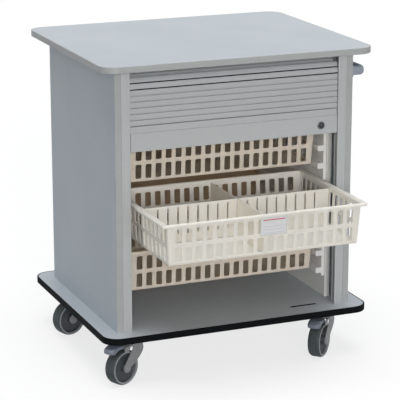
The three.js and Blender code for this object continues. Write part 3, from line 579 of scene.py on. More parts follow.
def addPanels(form):
    # an edge strip closes each side panel's front, and a brown sheet faces the back panel's inner side; the
    # sheet's brown is painted shade, for the warm shade deep in the cabinet
    r, sharp, strip, liner = form["edgeRound"], form["sharp"], form["strip"], form["liner"]
    for word in ("left", "right"):
        low, high = nodeBox(word + "_side_panel")
        split = np.array([high[0], low[1] + strip, high[2]])
        # painted shade: the side panels take the darker, bluer copy of the laminate
        standBoard(word + "Panel", low + [0, strip, 0], high, [sharp, sharp, r, r], panel, "panel",
                   [word + "_side_panel"])
        standBoard(word + "Strip", low, split, [r, r, sharp, sharp], edging, "edging")
        standBoard(word + "Lining", *nodeBox(word + "_lining"), r, lining, "panel", [word + "_lining"])
    low, high = nodeBox("back_panel")
    split = np.array([high[0], low[1] + liner, high[2]])
    standBoard("backPanel", low + [0, liner, 0], high, [sharp, sharp, r, r], panel, "panel", ["back_panel"])
    standBoard("backShadeSheet", low, split, sharp, shadeBacking, "panel")


def addJambs(form):
    # an upright profile with the shutter's groove in its inner side; above the relief its back wall is open
    for word, side in (("left", -1), ("right", 1)):
        low, high = nodeBox(word + "_front_jamb")
        inner, outer = (low[0], high[0]) if side > 0 else (high[0], low[0])
        root = inner + side * form["grooveDepth"]
        front, back = low[1] + form["grooveFront"], low[1] + form["grooveBack"]
        edge, soft = form["edgeRound"], form["rootRound"]
        lower = roundCorners(
            [(inner, low[1]), (outer, low[1]), (outer, high[1]), (inner, high[1]),
             (inner, back), (root, back), (root, front), (inner, front)],
            [edge, edge, edge, soft, soft, soft, soft, soft], hold=0.1)
        upper = roundCorners(
            [(inner, low[1]), (outer, low[1]), (outer, high[1]),
             (root, high[1]), (root, front), (inner, front)],
            [edge, edge, edge, soft, soft, soft], hold=0.1)
        relief = form["reliefFrom"]
        shape = joinShapes(carryProfile(lower, [low[2], relief], 2), carryProfile(upper, [relief, high[2]], 2))
        addPiece(word + "Jamb", shape, profile, "cabinet", "profile", [word + "_front_jamb"])


ledgeForm = {"count": 11, "pitch": 52.0, "firstTop": 232.0, "height": 16.0, "plate": 8.0, "noseRound": 2.4,
             "rootRound": 1.5, "endRound": 1.0, "edgeRound": 0.8}


def addSupports(form):
    # a comb of ledges on a plate: its outline seen from the front, carried back
    for word, side in (("left", -1), ("right", 1)):
        low, high = nodeBox(word + "_support_panel")
        nose, wall = (low[0], high[0]) if side > 0 else (high[0], low[0])
        plate, tall = wall - side * form["plate"], form["height"]
        top = form["firstTop"] + form["pitch"] * np.arange(form["count"])
        teeth = np.stack([
            np.stack([np.full_like(top, x), top - drop], -1)
            for x, drop in ((plate, tall), (nose, tall), (nose, 0), (plate, 0))], 1).reshape(-1, 2)
        outline = np.concatenate([
            [(wall, high[2]), (wall, low[2]), (plate, low[2])], teeth, [(plate, high[2])]])
        root, tip, end = form["rootRound"], form["noseRound"], form["endRound"]
        comb = roundCorners(outline, [0, 0, end] + [root, tip, tip, root] * form["count"] + [end], hold=0.1)
        addPiece(word + "Ledges", carryProfile(comb, [low[1], high[1]], 1), support, "cabinet", "support",
                 [word + "_support_panel"], rounding=form["edgeRound"])


addPanels(panelForm)
addJambs(jambForm)
addSupports(ledgeForm)
dressNodes(profile, "left_shutter_track", "right_shutter_track")
print("cabinet")


# Roller shutter and lock

# the last four values size the black strips painted as shade into the notches that the bend opens
slatForm = {"pitch": 16.6, "half": 4.0, "gap": 0.6, "openGap": 1.3, "openFrom": 4, "depth": 4.5, "round": 2.0,
            "roundSteps": 4, "bend": 45.0, "bendFrom": 818.6, "slats": 6, "bentSlats": 2, "backSteps": 4,
            "hinge": 2.4, "shadeStripFrom": 6, "shadeStripPlay": 0.05, "shadeStripSink": 0.2}
railForm = {"stepHeight": 18.0, "stepDepth": 3.0, "edgeRound": 1.2, "stepRound": 2.0, "backRound": 1.0,
            "sideGap": 1.5, "tongueGap": 0.3}


def curtainPlace(startY, form, distance, outward):
    # up a straight run as far as the bend, then round it; outward is measured off the curtain's middle
    drop = form["slats"] * form["pitch"]
    turn = np.clip((distance - drop) / form["bend"], 0, np.pi / 2)
    reach = form["bend"] + outward
    y = np.where(distance < drop, startY - outward, startY + form["bend"] - reach * np.cos(turn))
    z = np.where(distance < drop, form["bendFrom"] - drop + distance, form["bendFrom"] + reach * np.sin(turn))
    return np.stack([y, z], -1)


def addCurtain(form):
    low, high = nodeBox("shutter_curtain")
    startY = low[1] + form["half"]
    count = form["slats"] + form["bentSlats"]
    # a slat's outer side as (distance, outward): half a notch, a rounded crown, half a notch;
    # the notches are wider near the bend
    r, half, pitch = form["round"], form["half"], form["pitch"]
    floor = half - form["depth"]
    slat = np.arange(count)[:, None]
    gap = np.where(slat < form["openFrom"], form["gap"], form["openGap"])
    angle = np.linspace(0, np.pi / 2, form["roundSteps"] + 1)
    rise, crown = gap + r - r * np.cos(angle), half - r + r * np.sin(angle)
    distance = np.concatenate([0 * gap, gap, rise, 0 * gap + pitch / 2, pitch - rise[:, ::-1], pitch - gap], 1)
    outward = np.concatenate([[floor, floor], crown, [half], crown[::-1], [floor]])
    outer = np.stack([distance + slat * pitch, np.broadcast_to(outward, distance.shape)], -1).reshape(-1, 2)
    outer = np.concatenate([outer[2:], [(count * pitch, floor)]])
    back = np.linspace(count * pitch, 0, form["backSteps"] * count + 1)
    inner = np.stack([back, np.full_like(back, -half)], -1)
    line = np.concatenate([outer, inner])
    outline = curtainPlace(startY, form, line[:, 0], line[:, 1])
    shape = carryProfile(outline, [low[0], high[0]], 0)
    addPiece("frontSlats", shape, shutter, "shutter", "shutter", ["shutter_curtain"], sharpFrom=50)
    # painted shade: a black strip fills the bottom of each notch that the bend opens, standing in for the shade in
    # the opened notches
    wide, top, sunk = form["openGap"] - form["shadeStripPlay"], floor + form["hinge"], floor - form["shadeStripSink"]
    along, out = np.array([(-wide, top), (wide, top), (wide, sunk), (-wide, sunk)]).T
    notches = pitch * np.arange(form["shadeStripFrom"], count)
    sections = [curtainPlace(startY, form, along + notch, out) for notch in notches]
    strips = [carryProfile(section, [low[0], high[0]], 0) for section in sections]
    addPiece("notchShadeStrips", joinShapes(*strips), bumper, "shutter", "bumper")


def addRail(form):
    # a stepped plate between the jambs, with a tongue at each end that runs in the jamb's groove
    low, high = nodeBox("shutter_rail")
    front, back, bottom, top = low[1], high[1], low[2], high[2]
    step, ledge = front + form["stepDepth"], top - form["stepHeight"]
    edge, gap = form["edgeRound"], form["tongueGap"]
    section = roundCorners(
        [(front, bottom), (back, bottom), (back, top), (step, top), (step, ledge), (front, ledge)],
        [edge, form["backRound"], form["backRound"], edge, form["stepRound"], edge])
    reach = nodeBox("right_front_jamb")[0][0] - form["sideGap"]
    plate = carryProfile(section, [-reach, reach], 0)
    groove = nodeBox("shutter_curtain")[0][1]
    tongue = np.array(rectangle((groove, bottom + gap), (groove + 2 * slatForm["half"], top - gap), 0, 1))
    tongues = [carryProfile(tongue, sorted([side * reach, side * high[0]]), 0) for side in (-1, 1)]
    addPiece("bottomRail", joinShapes(plate, *tongues), shutter, "shutter", "shutter", ["shutter_rail"])


lockForm = {"plug": 7.0, "plugRound": 0.5, "bore": 7.3, "boreRound": 0.4, "barrel": 11.0, "frontRound": 1.6,
            "backRound": 0.3, "slotWidth": 1.8, "slotLength": 8.5, "slotDepth": 3.0, "sides": 48}


def addLock(form):
    # the barrel is a section turned about its bore
    low, high = nodeBox("lock_barrel")
    place = [(low[0] + high[0]) / 2, 0, (low[2] + high[2]) / 2]
    front, back = low[1], high[1]
    section = roundCorners(
        [(form["bore"], front), (form["barrel"], front), (form["barrel"], back), (form["bore"], back)],
        [form["boreRound"], form["frontRound"], form["backRound"], form["backRound"]], hold=0.05)
    addPiece("lockBarrel", moveShape(turnProfile(section, form["sides"], closed=True), place), lockMetal,
             "shutter", "lock_metal", ["lock_barrel"])
    # the plug is a loft: out of the key slot, from the slot's outline to the rim, then back along the plug
    plugLow, plugHigh = nodeBox("lock_plug")
    angle = np.linspace(0, 2 * np.pi, form["sides"], endpoint=False)
    circle = np.stack([np.cos(angle), np.sin(angle)], -1)
    slotHalf = np.array([form["slotWidth"], form["slotLength"]]) / 2
    slot = circle / np.max(np.abs(circle) / slotHalf, axis=1)[:, None]
    face, radius, r = plugLow[1], form["plug"], form["plugRound"]
    rings = [(slot, face + form["slotDepth"]), (slot, face), (circle * (radius - r), face),
             (circle * radius, face + r), (circle * radius, plugHigh[1])]
    grid = np.stack([np.stack([ring[:, 0], np.full(len(ring), y), ring[:, 1]], -1) for ring, y in rings])
    loop = np.arange(form["sides"])[None]
    ends = [loop, loop + form["sides"] * (len(rings) - 1)]
    faces = [gridFaces(len(rings), form["sides"], wrapColumns=True)] + ends
    addPiece("lockPlug", moveShape((grid.reshape(-1, 3), faces), place), plugMetal, "lock", "lock_metal",
             ["lock_plug"])


addCurtain(slatForm)
addRail(railForm)
addLock(lockForm)
dressNodes(shutter, "stored_curtain")
dressNodes(lockMetal, "lock_cam")
print("shutter")


# Baskets

basketForm = {
    "rimHalf": (300.0, 200.0), "bodyHalf": (285.0, 192.0), "height": 116.0, "draft": 7.0, "wall": 2.6,
    "corner": 7.5, "rimCorner": 6.0, "cornerSteps": 6, "rimHeight": 8.0, "rimRound": 1.0, "footRound": 3.0,
    "roundSteps": 3, "windowHalf": (8.5, 19.75), "windowRound": 3.6, "windowSteps": 4, "pitch": 29.5,
    "rowPitch": 51.5, "firstRow": 28.75, "rows": 2, "windows": (18, 12), "edgeRound": 0.6}
wallSlope = basketForm["draft"] / basketForm["height"]


def windowRing(form, half, cellHalf, radius):
    # once round a window: points on its rounded edge, and the points on the cell's edge that they are joined to
    phi = np.linspace(0, np.pi / 2, form["windowSteps"] + 1)
    flat = np.array(half) - radius
    reach = np.array(cellHalf) - flat
    low = phi <= np.pi / 4 + 1e-9
    tangent = np.tan(np.where(low, phi, np.pi / 2 - phi))
    hole = np.stack([flat[0] + radius * np.cos(phi), flat[1] + radius * np.sin(phi)], -1)
    edge = np.stack([np.where(low, cellHalf[0], flat[0] + reach[0] * tangent),
                     np.where(low, flat[1] + reach[1] * tangent, cellHalf[1])], -1)
    turns = [((1, 1), 1), ((-1, 1), -1), ((-1, -1), 1), ((1, -1), -1)]
    return [np.concatenate([ring[::way] * sign for sign, way in turns]) for ring in (edge, hole)]


def windowCells(centres, edge, hole):
    # the ring of quads between cell edge and window, repeated about every centre
    flat = np.stack([edge, hole])[None] + np.asarray(centres, float)[:, None, None]
    quads = gridFaces(2, len(edge), wrapColumns=True)
    faces = quads[None] + (np.arange(len(centres)) * 2 * len(edge))[:, None, None]
    return flat.reshape(-1, 2), faces.reshape(-1, 4)


def basketLoop(form, columns, half, corner):
    # once round a basket at one level: straight runs keep their columns, corners are arcs
    angle = np.linspace(-np.pi / 2, 0, form["cornerSteps"] + 1)
    arc = np.stack([np.cos(angle), np.sin(angle)], -1) * corner
    runs = []
    for side in range(4):
        u = columns[side % 2]
        a, b = half[side % 2], half[(side + 1) % 2]
        run = np.concatenate([
            np.stack([u, np.full_like(u, -b)], -1), arc + [a - corner, -b + corner]])
        turn = side * np.pi / 2
        c, s = round(math.cos(turn)), round(math.sin(turn))
        runs.append(run @ np.array([[c, s], [-s, c]]))
    return np.concatenate(runs)


def basketShape(form):
    # a sheet along the outer side of the walls: floor, foot round, walls of window cells, corners, rolled rim
    height, draft, wall, corner = form["height"], form["draft"], form["wall"], form["corner"]
    body, rim = np.array(form["bodyHalf"]), np.array(form["rimHalf"])
    cellHalf = (form["pitch"] / 2, form["rowPitch"] / 2)
    edge, hole = windowRing(form, form["windowHalf"], cellHalf, form["windowRound"])
    rows = form["firstRow"] + form["rowPitch"] * np.arange(form["rows"])
    bandLow, bandHigh = rows[0] - cellHalf[1], rows[-1] + cellHalf[1]
    middles = [(np.arange(n) - (n - 1) / 2) * form["pitch"] for n in form["windows"]]
    columns = [np.unique((m[:, None] + np.unique(edge[:, 0].round(6))).round(5)) for m in middles]
    sideEdge = np.unique(edge[np.abs(edge[:, 0]) > cellHalf[0] - 1e-6, 1])
    upEdge = np.unique((rows[:, None] + sideEdge).round(5))
    ringSize = len(basketLoop(form, columns, body, corner))
    halfAt = lambda z: body - draft * (1 - np.minimum(z, height) / height)
    ringAt = lambda half, bend, z: np.concatenate([
        basketLoop(form, columns, half, bend), np.full((ringSize, 1), z)], 1)

    def stack(levels):
        # levels are (half sizes, corner, height); rings on them are joined one to the next
        rings = np.stack([ringAt(*level) for level in levels])
        return rings.reshape(-1, 3), [gridFaces(len(levels), ringSize, wrapColumns=True)]

    angle = np.linspace(0, np.pi / 2, form["roundSteps"] + 1)
    r = form["footRound"]
    foot = [(halfAt(0) - r * (1 - math.sin(a)), corner - r * (1 - math.sin(a)), r * (1 - math.cos(a)))
            for a in angle[:-1]] + [(halfAt(bandLow), corner, bandLow)]
    lower = stack(foot)
    floor = (lower[0][:ringSize], [np.arange(ringSize)[None, ::-1]])
    # the rim rolls outwards: up, over and down again, by shares of its reach
    out, r = rim - wall - body, form["rimRound"]
    lipCorner, crest = form["rimCorner"] - wall, height - wall
    roll = [(0 * out, crest - r)]
    roll += [(0 * out + r * (1 - math.cos(a)), crest - r + r * math.sin(a)) for a in angle[1:]]
    roll += [(out - r * (1 - math.sin(a)), crest - r + r * math.cos(a)) for a in angle]
    roll += [(out, height - form["rimHeight"])]
    upper = stack([(halfAt(bandHigh), corner, bandHigh)] + [
        (body + offset, corner + (lipCorner - corner) * float(offset[0] / out[0]), z) for offset, z in roll])
    bandRings = np.stack([ringAt(halfAt(z), corner, z) for z in upEdge])
    walls, first = [], 0
    for side in range(4):
        centres = np.stack(np.meshgrid(middles[side % 2], rows, indexing="ij"), -1).reshape(-1, 2)
        flat, faces = windowCells(centres, edge, hole)
        depth = body[(side + 1) % 2] - draft * (1 - flat[:, 1] / height)
        spot = np.stack([flat[:, 0], -depth, flat[:, 1]], -1)
        walls.append(moveShape((spot, [faces]), turn=side * math.pi / 2))
        # the corner after this wall, from its last cell to the next wall's first
        first += len(columns[side % 2]) - 1
        strip = np.take(bandRings, np.arange(first, first + form["cornerSteps"] + 3), axis=1, mode="wrap")
        walls.append((strip.reshape(-1, 3), [gridFaces(*strip.shape[:2])]))
        first += form["cornerSteps"] + 2
    return joinShapes(lower, floor, upper, *walls)


def addBaskets(form):
    # one sheet, thickened inwards, in three places
    sheet = basketShape(form)
    for word in ("top", "middle", "bottom"):
        low, high = nodeBox(word + "_basket")
        place = ((low[0] + high[0]) / 2, (low[1] + high[1]) / 2, low[2])
        # painted light and shade: the middle basket takes the paler lit copy, the others the warmer shaded copy
        finish = litPaleCream if word == "middle" else shadedCream
        addPiece(word + "Basket", moveShape(sheet, place), finish, word + "_basket", "basket",
                 [word + "_basket"], sheet=True, wall=form["wall"], rounding=form["edgeRound"], sharpFrom=50)


addBaskets(basketForm)
print("baskets")


# Dividers and label of the middle basket

dividerForm = {"slitHalf": (2.0, 37.5), "slitRound": 1.9, "windowSteps": 4, "pitch": 29.5, "slits": 17,
               "fromTop": 7.0, "edgeBand": 4.0, "thickness": 3.0, "lap": 2.0, "edgeRound": 0.5, "floorGap": 0.2,
               "footRound": 2.0, "lapRound": 0.5, "topRound": 3.0}


def addCrossDivider(form):
    # an upright sheet in the basket's width: slit cells in a row, bands over and under them, leaning ends
    low, high = nodeBox("cross_divider")
    top, bottom = high[2], nodeBox("middle_basket")[0][2] + basketForm["wall"] + form["floorGap"]
    y, half, lap = (low[1] + high[1]) / 2, form["slitHalf"], form["lap"]
    cellHalf = (form["pitch"] / 2, half[1] + form["edgeBand"])
    edge, hole = windowRing(form, half, cellHalf, form["slitRound"])
    middles = (np.arange(form["slits"]) - (form["slits"] - 1) / 2) * form["pitch"]
    middles = middles[np.abs(middles) > lap]
    level = top - form["fromTop"] - half[1]
    flat, quads = windowCells(np.stack([middles, np.full_like(middles, level)], -1), edge, hole)
    shapes = [(np.stack([flat[:, 0], np.full(len(flat), y), flat[:, 1]], -1), [quads])]
    acrossEdge = np.unique(edge[:, 0].round(6))
    upEdge = level + np.unique(edge[np.abs(edge[:, 0]) > cellHalf[0] - 1e-6, 1].round(6))

    def sheet(across, up):
        # a flat grid; a column at infinity stands on the leaning end
        x, z = np.meshgrid(across, up)
        x = np.where(np.isinf(x), np.sign(x) * (high[0] - wallSlope * (top - z)), x)
        return np.stack([x, np.full_like(x, y), z], -1).reshape(-1, 3), [gridFaces(*x.shape)]

    for side in (-1, 1):
        columns = np.unique((middles[middles * side > 0][:, None] + acrossEdge).round(5))
        near, last = columns[::side][[0, -1]]
        end = np.sort([last, side * np.inf])
        for up in ((bottom, upEdge[0]), (upEdge[-1], top)):
            shapes += [sheet(columns, up), sheet(end, up)]
        shapes += [sheet(end, upEdge), sheet(np.sort([side * lap, near]), [bottom, *upEdge, top])]
    shapes.append(sheet([-lap, lap], [bottom, *upEdge[upEdge < (top + bottom) / 2]]))
    addPiece("crossDivider", joinShapes(*shapes), litPaleCream, "middle_basket", "basket", ["cross_divider"],
             sheet="middle", wall=form["thickness"], rounding=form["edgeRound"], sharpFrom=50)


def addLongDivider(form):
    # an upright plate in the basket's depth, notched from below where the other one passes
    low, high = nodeBox("long_divider")
    low[2] = nodeBox("middle_basket")[0][2] + basketForm["wall"] + form["floorGap"]
    halfway, y = (low[2] + high[2]) / 2, (low[1] + high[1]) / 2
    lean, lap = wallSlope * (high[2] - low[2]), form["lap"]
    foot, notch, crest = form["footRound"], form["lapRound"], form["topRound"]
    outline = roundCorners(
        [(low[1] + lean, low[2]), (y - lap, low[2]), (y - lap, halfway), (y + lap, halfway),
         (y + lap, low[2]), (high[1] - lean, low[2]), (high[1], high[2]), (low[1], high[2])],
        [foot, notch, notch, notch, notch, foot, crest, crest], hold=0.2)
    addPiece("longDivider", carryProfile(outline, [low[0], high[0]], 0), litPaleCream, "middle_basket", "basket",
             ["long_divider"], rounding=form["edgeRound"], sharpFrom=50)


labelForm = {"width": 78.0, "height": 53.0, "back": 1.5, "lip": 2.6, "depth": 3.0, "corner": 3.0,
             "topRound": 1.0, "lipRound": 1.5, "edgeRound": 0.25, "cardGap": 0.3, "cardThickness": 0.6,
             "cardRound": 1.0}


def addLabel(form):
    # a pocket with a thin back and a lip on three sides, leaning with the basket's wall, and the card in it
    low, high = nodeBox("label_holder")
    lean = math.atan(wallSlope)
    c, s = math.cos(lean), math.sin(lean)
    turn = np.array([[1, 0, 0], [0, c, s], [0, -s, c]])
    origin = [(low[0] + high[0]) / 2, low[1] + form["depth"], high[2]]

    def leaned(outline, front, back):
        # local x across, y out of the wall with the front negative, z down from the pocket's top edge
        points, faces = carryProfile(outline, [front, back], 1)
        return points @ turn + origin, faces

    half, tall, lip, gap, thin = form["width"] / 2, form["height"], form["lip"], form["cardGap"], form["back"]
    corner, crest, root = form["corner"], form["topRound"], form["lipRound"]
    plate = roundCorners([(-half, -tall), (half, -tall), (half, 0), (-half, 0)], [corner, corner, crest, crest])
    inner, floor = half - lip, lip - tall
    rim = roundCorners(
        [(-half, -tall), (half, -tall), (half, 0), (inner, 0), (inner, floor), (-inner, floor), (-inner, 0),
         (-half, 0)], [corner, corner, crest, crest, root, root, crest, crest], hold=0.1)
    addPiece("cardPocket", joinShapes(leaned(plate, -thin, 0), leaned(rim, -form["depth"], -thin)), pocket,
             "middle_basket", "label_pocket", ["label_holder"], rounding=form["edgeRound"], sharpFrom=50)
    sheet = roundCorners(rectangle((gap - inner, floor + gap), (inner - gap, -gap), 0, 1), form["cardRound"])
    cardFront = -thin - gap - form["cardThickness"]
    addPiece("ruledCard", leaned(sheet, cardFront, cardFront + form["cardThickness"]), card,
             "middle_basket", "card", ["label_card"])


addCrossDivider(dividerForm)
addLongDivider(dividerForm)
addLabel(labelForm)
print("dividers and label")


# Push handle

handleForm = {"height": 26.0, "thickness": 16.0, "bend": 14.0, "bendSteps": 10, "sides": 32, "sink": 0.5,
              "footRound": 2.0, "footCorner": 10.0}


def addHandle(form):
    # an oval section carried along a path that stands off the panel, on two rounded feet
    low, high = nodeBox("handle_bar")
    feet = {word: nodeBox("handle_" + word + "_foot") for word in ("front", "rear")}
    frontY, rearY = [(footLow[1] + footHigh[1]) / 2 for footLow, footHigh in feet.values()]
    barX, bend = high[0] - form["thickness"] / 2, form["bend"]
    # path: straight out, a curved corner, along the panel, and back in the same way
    corner = bezier((barX - bend, frontY), (barX, frontY), (barX, frontY + bend), form["bendSteps"])
    half = np.concatenate([[(feet["front"][1][0] - form["sink"], frontY)], corner])
    other = half[::-1].copy()
    other[:, 1] = frontY + rearY - other[:, 1]
    path = np.concatenate([half, other])
    along = np.gradient(path, axis=0)
    along /= np.linalg.norm(along, axis=1)[:, None]
    side = np.stack([along[:, 1], -along[:, 0]], -1)
    angle = np.linspace(0, 2 * np.pi, form["sides"], endpoint=False)
    out, up = np.cos(angle) * form["thickness"] / 2, np.sin(angle) * form["height"] / 2
    grid = np.zeros((len(path), len(angle), 3))
    grid[:, :, :2] = path[:, None] + side[:, None] * out[None, :, None]
    grid[:, :, 2] = (low[2] + high[2]) / 2 + up
    ring = np.arange(len(angle))[None]
    ends = [ring, ring + len(angle) * (len(path) - 1)]
    bar = grid.reshape(-1, 3), [gridFaces(*grid.shape[:2], wrapColumns=True)] + ends
    addPiece("pushBar", bar, grip, "cabinet", "handle", ["handle_bar"])
    for word, (footLow, footHigh) in feet.items():
        middle, (thick, wide, tall) = (footLow + footHigh) / 2, footHigh - footLow
        points, outward = boardLoop(wide / 2, tall / 2, form["footCorner"], steps=8, hold=0.3)
        r = form["footRound"]
        flat, faces = layLoops(points, outward, [(0, 0), (0, thick - r), *roundEdge(r, thick)])
        plate = np.stack([footLow[0] + flat[:, 2], middle[1] + flat[:, 0], middle[2] + flat[:, 1]], -1), faces
        addPiece(word + "HandleFoot", plate, grip, "cabinet", "handle", ["handle_" + word + "_foot"])


addHandle(handleForm)
print("handle")


# Casters

casterForm = {"trail": 36.0, "wheel": 50.0, "forkInner": 20.5, "forkWall": 4.0, "sides": 56, "shank": 5.0,
              "capGap": 0.3, "axleSides": 32,
              # rows of (radius, height)
              "cap": ((9, 0), (8.6, 0.8), (7, 1.4), (0, 1.6)),
              # rows of (radius, half width)
              "tyre": ((46.3, 16.9), (47.4, 17.5), (50, 11)), "tyreRounds": [0.3, 2.2, 5],
              "ring": ((41.2, 13), (41.8, 17.6), (46, 17.9), (46.2, 17.1)), "ringRound": 0.2,
              "disc": ((5.3, 19.5), (12, 19.5), (13, 18.5), (13.4, 9), (17, 7.5), (30, 6.5), (38, 8.5),
                       (41.1, 13))}
plateForm = {"half": (40.0, 33.0), "thickness": 4.0, "corner": 8.0, "lowRound": 0.8, "topRound": 0.4,
             "top": 127.0, "bearing": 23.0, "bearingHeight": 8.0, "boltX": 31.0, "boltY": 24.0, "bolt": 5.5,
             "boltHeight": 3.6, "raceSides": 48, "boltSides": 24,
             # rows of (inset, share of the height)
             "race": ((0, 0), (0, 0.42), (1.2, 0.5), (1.2, 0.58), (0.4, 0.66), (3, 1)),
             "boltHead": ((0, 0), (0, 0.5), (1.2, 0.85), (2.6, 1))}
forkForm = {"crownTop": 114.7, "crown": 6.0, "crownRound": 4.5, "reach": 26.0, "corner": 14.0, "shoulder": 45.0,
            "armShoulder": 11.0, "armWaist": 30.0, "armDrop": 1.0, "notch": 14.0, "ear": 28.0, "earDrop": 2.0,
            "slant": 3.0, "hub": 13.0, "eyeTurn": 2.1, "eyeSteps": 13, "edgeRound": 1.2}
pedalForm = {"pinX": 36.0, "pinZ": 105.5, "pin": 3.0, "pinEnd": 0.3, "pinSides": 20, "width": 36.0,
             "widthSteps": 12, "reach": 57.0, "tip": 11.0, "tipRounds": (3.0, 5.0), "tipFlat": 6.0,
             "press": 22.0, "tyreGap": 4.0, "overTyre": (80.0, 35.0), "underSteps": 8, "crest": 5.5,
             "crestBack": 14.0, "topBow": (34.5, 12.2), "topEnd": (6.0, 10.0), "heel": 4.0, "drawIn": 0.16,
             "drawPower": 4, "edgeRound": 1.6, "endRound": 0.1, "endCut": 0.5}


def turnedAt(word):
    # where a caster's pivot stands, and the way that its wheel trails
    pivot = np.array(jointOf[word + "_swivel_turn"]["pos_m"]) / metre
    axle = np.array(jointOf[word + "_wheel_roll"]["pos_m"]) / metre
    return (pivot[0], pivot[1], 0), math.atan2(axle[1] - pivot[1], axle[0] - pivot[0])


def casterPlate(form):
    # a rounded plate, and under it a turned bearing and four turned bolt heads
    points, outward = boardLoop(*form["half"], form["corner"], steps=6, hold=0.4)
    low, high, top = form["lowRound"], form["topRound"], form["top"]
    bottom = top - form["thickness"]
    plate = layLoops(points, outward, [(low, bottom), (0, bottom + low), (0, top - high), (high, top)])

    def hanging(radius, height, rows, sides):
        inset, share = np.array(rows, float).T
        section = np.stack([radius - inset, -height * share], -1)
        return turnProfile(np.concatenate([[(0, 0)], section, [(0, -height)]]), sides, axis=2)

    race = hanging(form["bearing"], form["bearingHeight"], form["race"], form["raceSides"])
    head = hanging(form["bolt"], form["boltHeight"], form["boltHead"], form["boltSides"])
    bolts = [moveShape(head, (sideX * form["boltX"], sideY * form["boltY"], bottom))
             for sideX in (-1, 1) for sideY in (-1, 1)]
    return joinShapes(plate, moveShape(race, (0, 0, bottom)), *bolts)


def forkShape(form, caster, braked):
    # a crown plate and two arms: the arm's outline seen from the side, carried through its thickness
    inner, outer = caster["forkInner"], caster["forkInner"] + caster["forkWall"]
    top, bottom, r = form["crownTop"], form["crownTop"] - form["crown"], form["crownRound"]
    points, outward = boardLoop(form["reach"], outer, form["corner"], steps=8, hold=0.4)
    crown = layLoops(points, outward, [(0, bottom), (0, top - r), *roundEdge(r, top)])
    trail, wheel = caster["trail"], caster["wheel"]
    hub, reach, notch = form["hub"], form["reach"], form["notch"]
    shoulder, waist, slant = bottom - form["armShoulder"], bottom - form["armWaist"], form["slant"]
    rear = bezier((-reach, shoulder), (-reach, waist), (trail - hub, wheel))
    sweep = np.linspace(np.pi, form["eyeTurn"] * np.pi, form["eyeSteps"] + 1)[1:]
    eye = np.stack([trail + hub * np.cos(sweep), wheel + hub * np.sin(sweep)], -1)
    front = bezier(eye[-1], (trail - slant, waist), (notch, shoulder + slant))[1:]
    # a braked fork has an ear that carries the pedal's pin
    ear = [(form["ear"], bottom), (form["ear"] + slant, shoulder), (form["shoulder"], shoulder),
           (form["shoulder"], top - form["earDrop"])] if braked else []
    armTop, drop = top - form["armDrop"], form["armDrop"]
    arm = np.concatenate([
        [(slant - reach, armTop)], rear, eye, front, [(notch, bottom)] + ear, [(reach - drop, armTop)]])
    return joinShapes(crown, *[carryProfile(arm, sorted([side * inner, side * outer]), 1) for side in (-1, 1)])


def axleShape(caster):
    # a shank with a low domed cap at each end
    outer, shank = caster["forkInner"] + caster["forkWall"] + caster["capGap"], caster["shank"]
    cap = np.array(caster["cap"])
    section = np.concatenate([
        cap[::-1] * [1, -1] - [0, outer], [(shank, -outer), (shank, outer)], cap + [0, outer]])
    return moveShape(turnProfile(section, caster["axleSides"]), (caster["trail"], 0, caster["wheel"]))


def wheelShapes(caster):
    # sections turned about the axle: the tyre with a round tread, the pale ring, the sunk disc with its hub;
    # each has its rows on one side, repeated on the other
    bothSides = lambda rows: np.array([(r, -w) for r, w in rows] + [(r, w) for r, w in rows[::-1]])
    rounds = caster["tyreRounds"]
    tyre = roundCorners(bothSides(caster["tyre"]), rounds + rounds[::-1], steps=6, hold=0.05)
    ring = roundCorners(bothSides(caster["ring"]), caster["ringRound"], steps=2, hold=0.02)
    place = (caster["trail"], 0, caster["wheel"])
    return [moveShape(turnProfile(section, caster["sides"], closed=True), place)
            for section in (tyre, ring, bothSides(caster["disc"]))]


def pedalShape(form, caster):
    # a wedge over the tyre: pressed, its underside lies evenly over the tyre; its tip is round in plan
    angle = np.radians(np.linspace(*form["overTyre"], form["underSteps"] + 1))
    radius, reach, pin, heel = caster["wheel"] + form["tyreGap"], form["reach"], form["pin"], form["heel"]
    x = caster["trail"] + radius * np.cos(angle) - form["pinX"]
    z = caster["wheel"] + radius * np.sin(angle) - form["pinZ"]
    c, s = math.cos(math.radians(form["press"])), math.sin(math.radians(form["press"]))
    under = np.stack([x * c - z * s, x * s + z * c], -1)
    tipLow, flat = under[-1, 1], form["tipFlat"]
    tipHigh = tipLow + form["tip"]
    crest = (reach - form["crestBack"], tipHigh + form["crest"])
    tip = roundCorners(
        [(reach - flat, tipLow), (reach, tipLow), (reach, tipHigh), crest],
        [form["endRound"], *form["tipRounds"], form["endRound"]], hold=0.05)
    tip = tip[tip[:, 0] > reach - flat + form["endCut"]]  # the ends' own small rounds are left out
    top = bezier(crest, form["topBow"], form["topEnd"])
    outline = np.concatenate([[(-heel, -pin), (heel, -pin)], under, tip, top, [(0, pin), (-heel, 0)]])
    half = form["width"] / 2
    points, faces = carryProfile(outline, np.linspace(-half, half, form["widthSteps"] + 1), 1)
    fromMiddle = np.abs(points[:, 1]) / half
    points[:, 0] -= np.maximum(points[:, 0], 0) * form["drawIn"] * fromMiddle ** form["drawPower"]
    end = caster["forkInner"] + caster["forkWall"] - form["pinEnd"]
    rod = turnProfile([(0, -end), (pin, -end), (pin, end), (0, end)], form["pinSides"])
    return moveShape(joinShapes((points, faces), rod), (form["pinX"], 0, form["pinZ"]))


